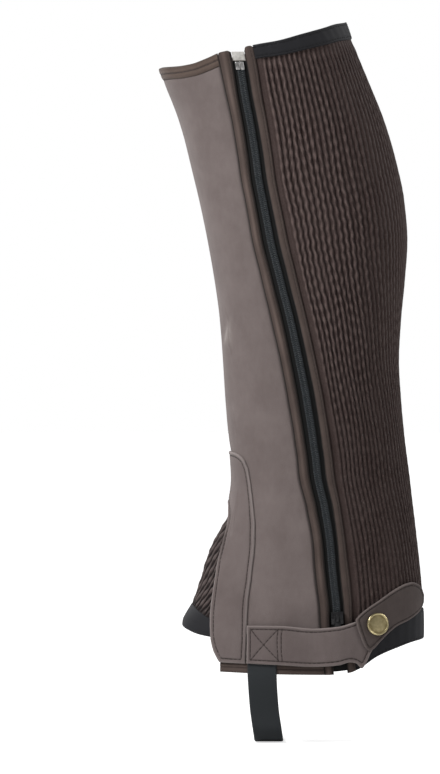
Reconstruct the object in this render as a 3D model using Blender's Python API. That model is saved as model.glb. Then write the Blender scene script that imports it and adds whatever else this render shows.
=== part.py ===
"""Left half chap in the shape it has when worn: a smooth suede wrap with a long curved zip up the outer
side, a smocked stretch panel behind, a ribbed instep wedge, a snapped strap and a loop of elastic below.

Lengths are in millimetres until a mesh is made in metres. +Z is up, the front faces -Y and the outer
side, with the zip, faces +X. The origin is in the middle of the hollow at its fullest level.
A place on the garment is a height and a girth: 0 on the middle of the front, 1 on the middle of the
back by the outer side and -1 by the inner side, in even steps of length round the hollow. Lifts are
measured out from the face of the main panels.
"""
import math
from collections import namedtuple

import bmesh
import bpy
import numpy as np
from mathutils import Matrix, Vector

MM = 0.001

# ------------------------------------------------------------------ driving sizes
SEAM_GAP = 0.3              # between pieces that meet at a seam
LAYER_GAP = 0.35            # between pieces that lie on each other
SUEDE = 1.6                 # thickness of the main wrap
PATCH_THICKNESS = 1.3
BAND_THICKNESS = 1.8
BINDING_RISE = 0.75         # how far the folded zip bindings stand up
BINDING_EDGE = 0.1          # and their lift along both edges
FOLD_EXTRA = 0.2            # how much deeper than the wrap its folded bindings reach
TOP_BINDING_HEIGHT = 8.0
TOP_BINDING_LIFT = 0.5
REAR_HEM_BAND_HEIGHT = 21.0
REAR_TOP_BAND_HEIGHT = 9.0  # beside the zip
REAR_TOP_BAND_GROWTH = 2.6  # added towards the back
HEM_BINDING_HEIGHT = 6.5

RIBS = 48                   # upright ribs of the calf panel
RIB_CREST = -0.2            # lift of a rib's crest
RIB_VALLEY = -1.5           # lift of the fold between two ribs
RIB_PANEL_INSIDE = -2.6     # lift of the plain inner face
RIB_WANDER = 0.9            # how far a rib strays sideways
RIB_WAVE = 76.0             # height of one such wave

GUSSET_HALF_WIDTH = 38.0
GUSSET_RIBS = 18
GUSSET_ROWS = 6
GUSSET_INNER_COLUMNS = 3    # outer columns for each inner one
GUSSET_CREST = -2.7
GUSSET_VALLEY = -3.8
GUSSET_INSIDE = -4.8
GUSSET_BULGE = 3.0          # how far the wedge swells at its middle
GUSSET_BULGE_REACH = 17.0   # and how far round from the middle of the front
GUSSET_SINK = 1.1           # how much deeper it lies where the flaps cover it
GUSSET_BAND_FACE = -3.0
GUSSET_BAND_THICKNESS = 1.7
GUSSET_BAND_HALF_WIDTH = 42.5
TUCK = 3.0                  # how far the wedge reaches under the flaps

TAPE_THICKNESS = 0.8
TAPE_LIFT = -0.7            # face of the zip tape
CHAIN_WIDTH = 4.6
CHAIN_BASE = -0.4
CHAIN_TOP = 0.9

STRAP_THICKNESS = 1.5
TAB_THICKNESS = 1.6
SNAP_RADIUS = 7.8
ELASTIC_WIDTH = 20.0
ELASTIC_THICKNESS = 1.3
ELASTIC_UNDERFOOT = -345.0  # height of the elastic's lowest face
ELASTIC_HALF_SPAN = 36.5    # from the middle of the loop to its upright stretch
ELASTIC_CORNER = 12.0       # radius where it turns across underneath
INNER_FLATTEN = 0.96        # the inner side is a little flatter

# ------------------------------------------------------------------ tables
# One row for each level: the front and back outlines, where the hollow is widest and half its width.
Level = namedtuple("Level", "height shin calf widest half_width")
LEVELS = [
    Level(-310.0, -93.5, 80.6, 2.0, 44.5),
    Level(-290.0, -94.0, 80.8, 3.0, 44.5),
    Level(-276.0, -93.0, 80.9, 4.0, 44.5),
    Level(-262.0, -89.6, 80.8, 5.0, 44.0),
    Level(-248.0, -81.8, 80.2, 6.0, 43.5),
    Level(-235.0, -75.4, 79.2, 7.0, 43.0),
    Level(-221.0, -70.4, 77.8, 8.0, 43.0),
    Level(-207.0, -64.6, 76.2, 9.0, 43.0),
    Level(-193.0, -57.9, 74.6, 9.0, 43.0),
    Level(-179.0, -53.2, 72.9, 9.0, 43.0),
    Level(-165.0, -51.6, 71.3, 9.0, 43.2),
    Level(-152.0, -52.2, 69.6, 9.0, 43.6),
    Level(-138.0, -54.4, 67.8, 8.5, 44.4),
    Level(-110.0, -57.0, 65.2, 8.0, 46.4),
    Level(-83.0, -58.7, 63.8, 8.0, 49.0),
    Level(-55.0, -60.8, 65.2, 8.0, 51.8),
    Level(-28.0, -64.4, 67.8, 7.0, 54.0),
    Level(0.0, -69.3, 69.6, 4.0, 55.4),
    Level(28.0, -75.1, 67.4, 0.0, 56.0),
    Level(55.0, -81.6, 61.8, -6.0, 56.0),
    Level(83.0, -89.2, 53.6, -14.0, 55.6),
    Level(110.0, -99.4, 42.8, -23.0, 55.0),
    Level(131.0, -108.0, 34.2, -30.0, 54.6),
    Level(150.0, -115.6, 27.6, -37.0, 54.2),
    Level(168.0, -122.4, 21.0, -43.0, 54.0),
]
SHIN_ROUNDNESS = 2.15       # power of the oval in front of its widest place
CALF_ROUNDNESS = 2.3        # and behind it

# The four seams beside the zip, as they run on the outer side.
ZipSeam = namedtuple("ZipSeam", "height wrap_seam tape_front tape_rear rib_seam")
ZIP_SEAMS = [
    ZipSeam(-310.0, 12.6, 19.0, 28.6, 34.4),
    ZipSeam(-262.0, 7.9, 15.2, 24.8, 30.6),
    ZipSeam(-235.0, 5.1, 12.6, 22.5, 28.8),
    ZipSeam(-208.0, 2.9, 10.1, 20.1, 25.6),
    ZipSeam(-185.0, -1.2, 6.1, 17.0, 22.3),
    ZipSeam(-160.0, -6.9, 0.7, 11.8, 17.7),
    ZipSeam(-138.0, -9.5, -2.2, 9.1, 14.9),
    ZipSeam(-110.0, -14.1, -6.7, 4.8, 10.4),
    ZipSeam(-83.0, -19.2, -11.8, -0.5, 5.0),
    ZipSeam(-55.0, -25.6, -17.7, -6.6, -1.2),
    ZipSeam(-28.0, -32.0, -24.5, -13.4, -7.7),
    ZipSeam(5.0, -39.6, -32.4, -21.3, -15.4),
    ZipSeam(35.0, -45.1, -38.0, -27.4, -21.6),
    ZipSeam(60.0, -49.0, -41.6, -31.2, -25.3),
    ZipSeam(90.0, -54.4, -46.6, -36.6, -30.4),
    ZipSeam(124.0, -61.9, -52.4, -42.8, -36.2),
    ZipSeam(150.0, -67.2, -57.4, -48.0, -41.6),
]

# Outlines on the outer side, each place by how far back it is and its height.
Place = namedtuple("Place", "back height")
RIM_OUTER = [
    Place(-103.4, 119.2), Place(-92.0, 119.8), Place(-81.4, 121.4), Place(-70.0, 125.4),
    Place(-60.0, 129.6), Place(-52.0, 131.2), Place(-42.6, 133.4), Place(-34.0, 135.2),
    Place(-21.6, 137.4), Place(-3.8, 142.4), Place(10.0, 146.4), Place(20.0, 149.8),
    Place(26.9, 151.8),
]
RIM_INNER = [
    Place(-103.4, 119.2), Place(-90.0, 120.2), Place(-70.0, 124.0), Place(-45.0, 130.6),
    Place(-20.0, 137.4), Place(0.0, 143.2), Place(16.0, 148.6), Place(26.9, 151.8),
]
HEM_OUTER = [
    Place(-60.0, -297.6), Place(-40.0, -298.4), Place(-16.0, -299.2), Place(12.0, -299.4),
    Place(27.0, -298.2), Place(34.0, -296.0), Place(48.3, -286.8), Place(60.7, -281.6),
    Place(74.0, -277.2), Place(80.8, -275.4),
]
HEM_INNER = [
    Place(-60.0, -297.6), Place(-40.0, -298.4), Place(-16.0, -298.6), Place(12.0, -295.8),
    Place(40.0, -288.6), Place(60.0, -281.8), Place(74.0, -277.2), Place(80.8, -275.4),
]
Around = namedtuple("Around", "around height")     # how far round from the front, and its height
ARCH = [    # the arch in the lower edge of the wrap, from its middle out to the flap's corner
    Around(0.0, -182.0), Around(6.0, -183.6), Around(12.0, -188.0), Around(17.0, -194.6),
    Around(20.5, -202.6), Around(23.0, -212.8), Around(25.0, -225.3), Around(28.0, -237.0),
    Around(33.5, -250.4), Around(40.0, -263.6), Around(43.6, -275.3), Around(47.0, -284.0),
    Around(51.5, -291.2),
]
PATCH_TOP = [
    Place(-53.3, -145.6), Place(-50.0, -146.6), Place(-46.9, -148.2), Place(-43.6, -151.4),
    Place(-41.2, -157.0),
]
PATCH_SIDE = [
    Place(-42.9, -300.0), Place(-42.5, -277.0), Place(-42.1, -262.0), Place(-41.4, -248.4),
    Place(-39.0, -231.0), Place(-37.3, -216.0), Place(-36.4, -197.0), Place(-37.4, -182.0),
    Place(-39.4, -166.0), Place(-41.6, -154.0),
]
GUSSET_BAND_TOP = [
    Around(0.0, -249.6), Around(12.0, -251.6), Around(25.0, -256.0), Around(38.0, -261.0),
    Around(46.0, -263.0),
]
GUSSET_BAND_BOTTOM = [
    Around(0.0, -264.8), Around(15.0, -268.0), Around(30.0, -271.8), Around(46.0, -274.4),
]
STRAP_TOP = [
    Place(-41.7, -265.6), Place(-18.6, -265.7), Place(3.5, -267.4), Place(20.0, -266.2),
    Place(31.7, -262.9), Place(40.0, -259.4), Place(49.0, -255.0),
]
STRAP_BOTTOM = [
    Place(-41.7, -291.6), Place(-19.7, -292.6), Place(3.5, -293.8), Place(20.4, -292.6),
    Place(28.6, -290.6), Place(32.4, -291.2), Place(36.6, -294.8), Place(40.0, -290.4),
    Place(43.5, -283.0), Place(49.0, -277.0),
]
TAB_TOP = [
    Place(32.1, -261.0), Place(34.5, -258.1), Place(40.7, -253.2), Place(48.3, -248.1),
    Place(54.5, -243.8), Place(63.5, -238.6), Place(67.6, -236.9), Place(71.1, -236.2),
    Place(74.5, -237.2), Place(77.3, -240.0), Place(78.8, -244.6),
]
TAB_BOTTOM = [
    Place(32.1, -263.6), Place(34.5, -271.2), Place(36.6, -276.7), Place(38.6, -280.8),
    Place(41.4, -283.0), Place(44.9, -281.0), Place(48.3, -277.2), Place(55.9, -269.8),
    Place(60.7, -266.3), Place(68.3, -262.7), Place(73.1, -259.4), Place(77.3, -255.0),
    Place(78.8, -251.0),
]
InnerSeam = namedtuple("InnerSeam", "girth height")
INNER_SEAM = [              # the seam towards the back of the inner side
    InnerSeam(-0.54, -300.0), InnerSeam(-0.56, -180.0), InnerSeam(-0.63, -60.0),
    InnerSeam(-0.64, 0.0), InnerSeam(-0.64, 150.0),
]

# How far the strap and the tab stand off on their way over the zip and on to the back.
StandOff = namedtuple("StandOff", "back strap tab")
STAND_OFFS = [
    StandOff(-45.0, 1.95, 3.9), StandOff(2.0, 2.0, 3.9), StandOff(13.0, 3.3, 3.9),
    StandOff(20.0, 3.65, 3.9), StandOff(27.0, 3.1, 3.9), StandOff(34.0, 1.9, 3.8),
    StandOff(42.0, 0.9, 2.8), StandOff(50.0, 0.4, 2.15), StandOff(60.0, 0.3, 0.8),
    StandOff(70.0, 0.3, 0.4), StandOff(81.0, 0.3, 0.35),
]

ZIP_TOP_STOP = 123.4        # the tapes end here, in their clear film
ZIP_FILM_TOP = 129.8
ZIP_FILM_INSIDE = -1.6      # lifts of the film's two faces
ZIP_FILM_FACE = -0.4
ZIP_FILM_CLEAR = 0.5        # from the film to the bindings
ZIP_BOX_WIDTH = 3.0
ZIP_PIN_WIDTH = 2.6
ZIP_BOX_FACE = 1.3
ZIP_PIN_FACE = 1.0
TAPE_ABOVE_HEM = 2.0
ZIP_BOX_TOP = 122.9
ZIP_BOX_BOTTOM = 117.4
CHAIN_START = 117.0
CHAIN_END = -265.0
SLIDER_HEIGHT = -260.1
SNAP_PLACE = Place(46.2, -264.5)


# ------------------------------------------------------------------ curves and the worn form
def smooth_curve(places, values):
    """A smooth function through values given at rising places; it never swings past its points."""
    places = np.asarray(places, float)
    values = np.asarray(values, float)
    spans, grades = np.diff(places), np.diff(values) / np.diff(places)
    slopes = np.concatenate(([grades[0]], np.zeros(len(places) - 2), [grades[-1]]))
    for i in range(1, len(places) - 1):
        before, after = grades[i - 1], grades[i]
        if before * after > 0:
            near, far = 2 * spans[i] + spans[i - 1], spans[i] + 2 * spans[i - 1]
            slopes[i] = (near + far) / (near / before + far / after)

    def value(place):
        place = min(max(place, places[0]), places[-1])
        i = min(max(int(np.searchsorted(places, place, side="right")) - 1, 0), len(places) - 2)
        span = places[i + 1] - places[i]
        t = (place - places[i]) / span
        start = values[i] * (1 + 2 * t) * (1 - t) ** 2 + span * slopes[i] * t * (1 - t) ** 2
        end = values[i + 1] * t * t * (3 - 2 * t) - span * slopes[i + 1] * t * t * (1 - t)
        return float(start + end)

    return value


def column(table, name):
    return [getattr(row, name) for row in table]


shin_at = smooth_curve(column(LEVELS, "height"), column(LEVELS, "shin"))
calf_at = smooth_curve(column(LEVELS, "height"), column(LEVELS, "calf"))
widest_at = smooth_curve(column(LEVELS, "height"), column(LEVELS, "widest"))
half_width_at = smooth_curve(column(LEVELS, "height"), column(LEVELS, "half_width"))
SWEEP = np.linspace(0.0, math.pi, 721)


def half_ring(height, side):
    """Half a level ring, front to back: across, back and length so far at each of its points."""
    shin, calf, widest = shin_at(height), calf_at(height), widest_at(height)
    width = half_width_at(height) * (1.0 if side > 0 else INNER_FLATTEN)
    cosine = np.cos(SWEEP)
    power = np.where(cosine > 0, 2 / SHIN_ROUNDNESS, 2 / CALF_ROUNDNESS)
    reach = np.where(cosine > 0, shin - widest, calf - widest)
    back = widest + reach * np.abs(cosine) ** power
    across = side * width * np.sin(SWEEP).clip(0) ** power
    steps = np.hypot(np.diff(across), np.diff(back))
    return across, back, np.concatenate(([0.0], np.cumsum(steps)))


def half_girth(height, side=1):
    return float(half_ring(height, side)[2][-1])


def skin(height, girth):
    """The place on the face of the main panels at a height and a girth."""
    girth = (girth + 1) % 2 - 1
    across, back, run = half_ring(height, 1 if girth >= 0 else -1)
    length = abs(girth) * run[-1]
    return np.array((np.interp(length, run, across), np.interp(length, run, back), height))


def lifted(height, girth, lift):
    """The same place, moved straight out from the face."""
    reach = 1.2
    turn = reach / 190.0
    along = skin(height, girth + turn) - skin(height, girth - turn)
    up = skin(height + reach, girth) - skin(height - reach, girth)
    outward = np.cross(along, up)
    return skin(height, girth) + outward / np.linalg.norm(outward) * lift


def girth_of(back, height):
    """The girth at which the outer side lies that far back."""
    _, backs, run = half_ring(height, 1)
    return float(np.interp(back, backs, run) / run[-1])


def seam(rows):
    """A line that runs up the outer side: its girth at each height."""
    rows = sorted(rows, key=lambda row: row.height)
    return smooth_curve(column(rows, "height"), [girth_of(row.back, row.height) for row in rows])


def edge(rows):
    """A line that runs round the outer side: its height at each girth."""
    return smooth_curve([girth_of(row.back, row.height) for row in rows], column(rows, "height"))


def round_from_shin(rows):
    """An edge given by lengths round from the middle of the front, alike on both sides."""
    girths = [row.around / half_girth(row.height) for row in rows]
    line = smooth_curve(girths, column(rows, "height"))
    return lambda girth: line(fold(girth))


def moved(line, distance):
    """The same seam, moved round the garment by a distance."""
    return lambda height: line(height) + distance / half_girth(height)


def raised(line, distance):
    return lambda girth: line(girth) + distance


def both_sides(outer, inner):
    """An edge that follows one line on the outer side and another on the inner side."""
    return lambda girth: outer(fold(girth)) if (girth + 1) % 2 - 1 >= 0 else inner(fold(girth))


def fold(girth):
    return abs((girth + 1) % 2 - 1)


# ------------------------------------------------------------------ seams and edges
def zip_line(name):
    return seam([Place(getattr(row, name), row.height) for row in ZIP_SEAMS])


wrap_seam = zip_line("wrap_seam")
tape_front = zip_line("tape_front")
tape_rear = zip_line("tape_rear")
rib_seam = zip_line("rib_seam")
inner_seam = smooth_curve(column(INNER_SEAM, "height"), column(INNER_SEAM, "girth"))
rim = both_sides(edge(RIM_OUTER), edge(RIM_INNER))
hem = both_sides(edge(HEM_OUTER), edge(HEM_INNER))
arch_line = round_from_shin(ARCH)
patch_top_line = edge(PATCH_TOP)
patch_side_line = seam(PATCH_SIDE)
gusset_band_top = round_from_shin(GUSSET_BAND_TOP)
gusset_band_bottom = round_from_shin(GUSSET_BAND_BOTTOM)
flap_corner = ARCH[-1].around / half_girth(ARCH[-1].height)


def inner_seam_behind(height):
    """The inner seam reached by way of the back."""
    return inner_seam(height) + 2


def zip_middle(height):
    return (tape_front(height) + tape_rear(height)) / 2


def wrap_bottom(girth):
    """Lower edge of the wrap: the arch at the front, then level above the hem binding."""
    if fold(girth) < flap_corner:
        return arch_line(fold(girth))
    return hem(girth) + HEM_BINDING_HEIGHT


def patch_top(girth):
    return patch_top_line(fold(girth))


def patch_side(height):
    """Edge of the ankle patch, carried on up the wrap as a line of its grid."""
    top = PATCH_SIDE[-1].height
    if height <= top:
        return patch_side_line(height)
    share = (height - top) / (ZIP_SEAMS[-1].height - top)
    return patch_side_line(top) * (1 - share) + 0.6 * wrap_seam(height) * share


def patch_side_inner(height):
    return -patch_side(height)


def gusset_top(girth):
    """The wedge ends under the flaps, a little past their edges."""
    tucked = max(fold(girth) - TUCK / half_girth(-220.0), 0.0)
    return arch_line(tucked) + 2.0


# ------------------------------------------------------------------ meshes
def fractions(count, rounded=False):
    """Shares from 0 to 1, even or closer at both ends."""
    if rounded:
        return [(1 - math.cos(math.pi * i / count)) / 2 for i in range(count + 1)]
    return [i / count for i in range(count + 1)]


def stations(counts, rounded=False):
    """Pairs of strip number and share within it, along strips with those counts."""
    pairs = [(0, 0.0)]
    for strip, count in enumerate(counts):
        pairs += [(strip, share) for share in fractions(count, rounded)[1:]]
    return pairs


def places_between(seams, columns, edges, rows, rounded=False):
    """Height and girth at each crossing of a grid held between seams and edges, bottom row first."""
    grid = []
    for low, rise in stations(rows):
        line = []
        for left, share in stations(columns, rounded):
            height = -80.0
            for _ in range(14):
                start, end = seams[left](height), seams[left + 1](height)
                girth = start + (end - start) * share
                bottom, top = edges[low](girth), edges[low + 1](girth)
                height = bottom + (top - bottom) * rise
            line.append((height, girth))
        grid.append(line)
    return grid


def points_of(grid, lift):
    """Points over a grid of places; the lift is a number or a function of row and column."""
    height_of = lift if callable(lift) else (lambda row, place: lift)
    return [[lifted(height, girth, height_of(i, j)) for j, (height, girth) in enumerate(line)]
            for i, line in enumerate(grid)]


def thin_out(grid, every_row, every_column):
    return [line[::every_column] for line in grid[::every_row]]


def finish_mesh(name, mesh_data, material, smooth=0.0):
    """Make the object of a bmesh, in metres, with its own material."""
    mesh = bpy.data.meshes.new(name)
    mesh_data.to_mesh(mesh)
    mesh_data.free()
    mesh.materials.append(material)
    if smooth:
        mesh.shade_smooth()
        mesh.set_sharp_from_angle(angle=math.radians(smooth))
    piece = bpy.data.objects.new(name, mesh)
    bpy.context.scene.collection.objects.link(piece)
    return piece


def wall(name, outer, inner, material, smooth=40.0):
    """A sheet with two faces and a rim; the inner grid may be coarser by whole steps."""
    bm = bmesh.new()
    front = [[bm.verts.new(point * MM) for point in line] for line in outer]
    rear = [[bm.verts.new(point * MM) for point in line] for line in inner]
    for grid, turned in ((front, False), (rear, True)):
        for low, high in zip(grid, grid[1:]):
            for j in range(len(low) - 1):
                for corners in ((low[j], low[j + 1], high[j + 1]), (low[j], high[j + 1], high[j])):
                    bm.faces.new(corners[::-1] if turned else corners)
    left, right = [line[0] for line in front], [line[-1] for line in front]
    rear_left, rear_right = [line[0] for line in rear], [line[-1] for line in rear]
    for near, far, turned in ((front[0], rear[0], True), (front[-1], rear[-1], False),
                              (left, rear_left, False), (right, rear_right, True)):
        step = (len(near) - 1) // (len(far) - 1)
        for k in range(len(far) - 1):
            ring = near[k * step:(k + 1) * step + 1] + [far[k + 1], far[k]]
            bm.faces.new(ring[::-1] if turned else ring)
    return finish_mesh(name, bm, material, smooth)


def strip(name, seams, columns, edges, rows, inside, outside, material, rounded=False):
    """A plain wall between seams and edges."""
    grid = places_between(seams, [columns], edges, [rows], rounded)
    return wall(name, points_of(grid, outside), points_of(grid, inside), material)


def block(size, middle):
    """A bmesh box in metres."""
    bm = bmesh.new()
    scale = Matrix.Diagonal((*[length * MM for length in size], 1))
    bmesh.ops.create_cube(bm, size=1.0, matrix=Matrix.Translation(Vector(middle) * MM) @ scale)
    return bm


def material(name, color, roughness, metallic=0.0):
    made = bpy.data.materials.new(name)
    made.use_nodes = True
    shader = made.node_tree.nodes["Principled BSDF"]
    shader.inputs["Base Color"].default_value = (*color, 1.0)
    shader.inputs["Roughness"].default_value = roughness
    shader.inputs["Metallic"].default_value = metallic
    return made


# ------------------------------------------------------------------ the wrap
WRAP_COLUMNS = (8, 20, 6)   # inner side, under the patch, beside the zip
WRAP_ROWS = (11, 16)        # below and above the patch's top edge


def wrap_places():
    """The grid that the wrap and the patch on it share."""
    seams = [moved(inner_seam, SEAM_GAP / 2), patch_side_inner, patch_side, moved(wrap_seam, -SEAM_GAP / 2)]
    edges = [raised(wrap_bottom, SEAM_GAP / 2), patch_top, raised(rim, -TOP_BINDING_HEIGHT - SEAM_GAP)]
    return places_between(seams, WRAP_COLUMNS, edges, WRAP_ROWS)


def make_wrap():
    suede = material("wrap_suede", (0.205, 0.160, 0.150), 0.85)
    overlay = material("patch_suede", (0.190, 0.148, 0.140), 0.85)
    places = wrap_places()
    wall("front_panel", points_of(places, 0.0), points_of(places, -SUEDE), suede)
    first, last = WRAP_COLUMNS[0], WRAP_COLUMNS[0] + WRAP_COLUMNS[1]
    covered = [line[first:last + 1] for line in places[:WRAP_ROWS[0] + 1]]
    wall("ankle_patch", points_of(covered, LAYER_GAP + PATCH_THICKNESS), points_of(covered, LAYER_GAP),
         overlay)


def make_wrap_bindings():
    binding = material("binding_brown", (0.105, 0.072, 0.062), 0.75)
    hem_binding = material("hem_binding_brown", (0.095, 0.068, 0.060), 0.8)
    strip("front_top_binding", [moved(inner_seam, SEAM_GAP / 2), moved(wrap_seam, -SEAM_GAP / 2)], 28,
          [raised(rim, -TOP_BINDING_HEIGHT), rim], 1, -SUEDE - FOLD_EXTRA, TOP_BINDING_LIFT, binding)

    def outer_corner(height):
        return flap_corner

    def inner_corner(height):
        return -flap_corner

    edges = [hem, raised(hem, HEM_BINDING_HEIGHT - SEAM_GAP)]
    strip("outer_hem_binding", [outer_corner, moved(wrap_seam, -SEAM_GAP / 2)], 9, edges, 1,
          -SUEDE - FOLD_EXTRA, 0.0, hem_binding)
    strip("inner_hem_binding", [moved(inner_seam, SEAM_GAP / 2), inner_corner], 9, edges, 1,
          -SUEDE - FOLD_EXTRA, 0.0, hem_binding)


# ------------------------------------------------------------------ the calf panel
CALF_ROWS = 26
CALF_INNER_ROWS = 2         # outer rows for each inner row
CALF_INNER_COLUMNS = 4


def rear_band_height(girth):
    """The elastic at the top grows a little towards the back."""
    share = min(max((fold(girth) - 0.45) / 0.4, 0.0), 1.0)
    return REAR_TOP_BAND_HEIGHT + REAR_TOP_BAND_GROWTH * share


def make_calf_panel():
    stretch = material("calf_stretch", (0.085, 0.062, 0.058), 0.9)
    columns = 2 * RIBS
    seams = [moved(rib_seam, SEAM_GAP / 2), moved(inner_seam_behind, -SEAM_GAP / 2)]
    edges = [lambda girth: hem(girth) + REAR_HEM_BAND_HEIGHT + SEAM_GAP,
             lambda girth: rim(girth) - rear_band_height(girth) - SEAM_GAP]
    places = places_between(seams, [columns], edges, [CALF_ROWS])
    wandered = []
    for i, line in enumerate(places):
        moved_line = []
        for j, (height, girth) in enumerate(line):
            held = math.sin(math.pi * j / columns) * math.sin(math.pi * i / CALF_ROWS)
            sway = math.sin(2 * math.pi * height / RIB_WAVE + 0.9 * math.sin(j * 0.37))
            moved_line.append((height, girth + RIB_WANDER * held * sway / half_girth(height)))
        wandered.append(moved_line)

    def ridge(row, place):
        return RIB_CREST if place % 2 else RIB_VALLEY

    inside = thin_out(places, CALF_INNER_ROWS, CALF_INNER_COLUMNS)
    wall("rear_panel", points_of(wandered, ridge), points_of(inside, RIB_PANEL_INSIDE), stretch, smooth=0.0)


def make_calf_bands():
    elastic = material("band_black", (0.022, 0.021, 0.024), 0.8)
    seams = [moved(rib_seam, SEAM_GAP / 2), moved(inner_seam_behind, -SEAM_GAP / 2)]
    strip("rear_top_band", seams, 26, [lambda girth: rim(girth) - rear_band_height(girth), rim], 1,
          -BAND_THICKNESS, 0.0, elastic)
    strip("rear_hem_band", seams, 24, [hem, raised(hem, REAR_HEM_BAND_HEIGHT)], 2,
          -BAND_THICKNESS, 0.0, elastic)


# ------------------------------------------------------------------ the instep wedge
def make_gusset():
    stretch = material("instep_stretch", (0.075, 0.058, 0.055), 0.9)
    elastic = material("gusset_band_black", (0.024, 0.024, 0.026), 0.8)
    columns = 2 * GUSSET_RIBS

    def side(distance):
        return lambda height: distance / half_girth(height)

    edges = [raised(gusset_band_top, SEAM_GAP), gusset_top]
    sides = [side(-GUSSET_HALF_WIDTH), side(GUSSET_HALF_WIDTH)]
    places = places_between(sides, [columns], edges, [GUSSET_ROWS])

    def swell(row, place):
        height, girth = places[row][place]
        away = GUSSET_HALF_WIDTH * abs(2 * place / columns - 1) / GUSSET_BULGE_REACH
        bulge = GUSSET_BULGE * max(1 - away ** 2, 0.0) ** 2 * math.sin(math.pi * row / GUSSET_ROWS)
        covered = min(max((height - arch_line(fold(girth)) + 6.0) / 8.0, 0.0), 1.0)
        return bulge - GUSSET_SINK * covered

    def ridge(row, place):
        return (GUSSET_CREST if place % 2 else GUSSET_VALLEY) + swell(row, place)

    inside = points_of(places, lambda row, place: GUSSET_INSIDE + swell(row, place))
    inside = thin_out(inside, 1, GUSSET_INNER_COLUMNS)
    wall("instep_gusset", points_of(places, ridge), inside, stretch, smooth=0.0)
    band = GUSSET_BAND_HALF_WIDTH
    strip("gusset_hem_band", [side(-band), side(band)], 22, [gusset_band_bottom, gusset_band_top], 2,
          GUSSET_BAND_FACE - GUSSET_BAND_THICKNESS, GUSSET_BAND_FACE, elastic)


# ------------------------------------------------------------------ the zip
def make_zip_bindings():
    binding = material("zip_binding_brown", (0.105, 0.072, 0.062), 0.75)
    half = SEAM_GAP / 2
    for name, left, right in (("zip_front_binding", wrap_seam, tape_front),
                              ("zip_rear_binding", tape_rear, rib_seam)):
        places = places_between([moved(left, half), moved(right, -half)], [3], [hem, rim], [28])

        def crown(row, place):
            return BINDING_RISE if place in (1, 2) else BINDING_EDGE

        wall(name, points_of(places, crown), thin_out(points_of(places, -SUEDE), 1, 3), binding)


def make_zip_tapes():
    tape = material("zip_tape_black", (0.030, 0.030, 0.032), 0.7)
    half = SEAM_GAP / 2
    bottom = raised(hem, TAPE_ABOVE_HEM)

    def top(girth):
        return ZIP_TOP_STOP

    strip("zip_tape_front", [moved(tape_front, half), moved(zip_middle, -half)], 1, [bottom, top], 28,
          TAPE_LIFT - TAPE_THICKNESS, TAPE_LIFT, tape)
    strip("zip_tape_rear", [moved(zip_middle, half), moved(tape_rear, -half)], 1, [bottom, top], 28,
          TAPE_LIFT - TAPE_THICKNESS, TAPE_LIFT, tape)


def make_zip_chain():
    coil = material("zip_coil_black", (0.020, 0.020, 0.022), 0.45)
    half = CHAIN_WIDTH / 2
    strip("zip_chain", [moved(zip_middle, -half), moved(zip_middle, half)], 1,
          [lambda girth: CHAIN_END, lambda girth: CHAIN_START], 28, CHAIN_BASE, CHAIN_TOP, coil)


def make_zip_end():
    """The film over the tapes' ends, with the pin and its box below it."""
    film = material("zip_film_clear", (0.62, 0.60, 0.58), 0.35)
    steel = material("zip_end_steel", (0.72, 0.71, 0.70), 0.3, 1.0)
    strip("zip_film", [moved(tape_front, ZIP_FILM_CLEAR), moved(tape_rear, -ZIP_FILM_CLEAR)], 2,
          [lambda girth: ZIP_TOP_STOP + SEAM_GAP, lambda girth: ZIP_FILM_TOP], 1,
          ZIP_FILM_INSIDE, ZIP_FILM_FACE, film)
    ends = [lambda girth: ZIP_BOX_BOTTOM, lambda girth: ZIP_BOX_TOP]
    half = SEAM_GAP / 2
    strip("zip_box", [moved(zip_middle, -half - ZIP_BOX_WIDTH), moved(zip_middle, -half)], 1, ends, 1,
          CHAIN_BASE, ZIP_BOX_FACE, steel)
    strip("zip_pin", [moved(zip_middle, half), moved(zip_middle, half + ZIP_PIN_WIDTH)], 1, ends, 1,
          CHAIN_BASE, ZIP_PIN_FACE, steel)


SLIDER_WIDTH = 8.2
SLIDER_LENGTH = 8.4
SLIDER_UNDERSIDE = 1.2      # lifts of the slider's upper plate and of the bridge over it
SLIDER_FACE = 2.1
FLANGE_WIDTH = 1.0
FLANGE_FOOT = -0.3
BRIDGE_WIDTH = 1.6
BRIDGE_LENGTH = 5.2
BRIDGE_UNDERSIDE = 3.55
BRIDGE_TOP = 4.15
BRIDGE_LEG = 0.8
PULL_WIDTH = 4.4
PULL_LENGTH = 13.5
PULL_LOW = 2.45
PULL_HIGH = 3.25
PULL_EYE_WIDTH = 2.4
PULL_BAR = 1.1              # from the eye to the pull's upper end


def local_frame(height, girth, direction):
    """Axes across, along and out at a place of the garment, as a matrix in metres."""
    spot = skin(height, girth)
    out = Vector(lifted(height, girth, 1.0) - spot).normalized()
    along = Vector(direction)
    along = (along - out * along.dot(out)).normalized()
    across = along.cross(out)
    frame = Matrix((across, along, out)).transposed().to_4x4()
    frame.translation = Vector(spot) * MM
    return frame


def slider_frame():
    """Across the zip, down the zip and out, at the middle of the slider."""
    down = skin(SLIDER_HEIGHT - 4, zip_middle(SLIDER_HEIGHT - 4)) \
        - skin(SLIDER_HEIGHT + 4, zip_middle(SLIDER_HEIGHT + 4))
    return local_frame(SLIDER_HEIGHT, zip_middle(SLIDER_HEIGHT), down)


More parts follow.
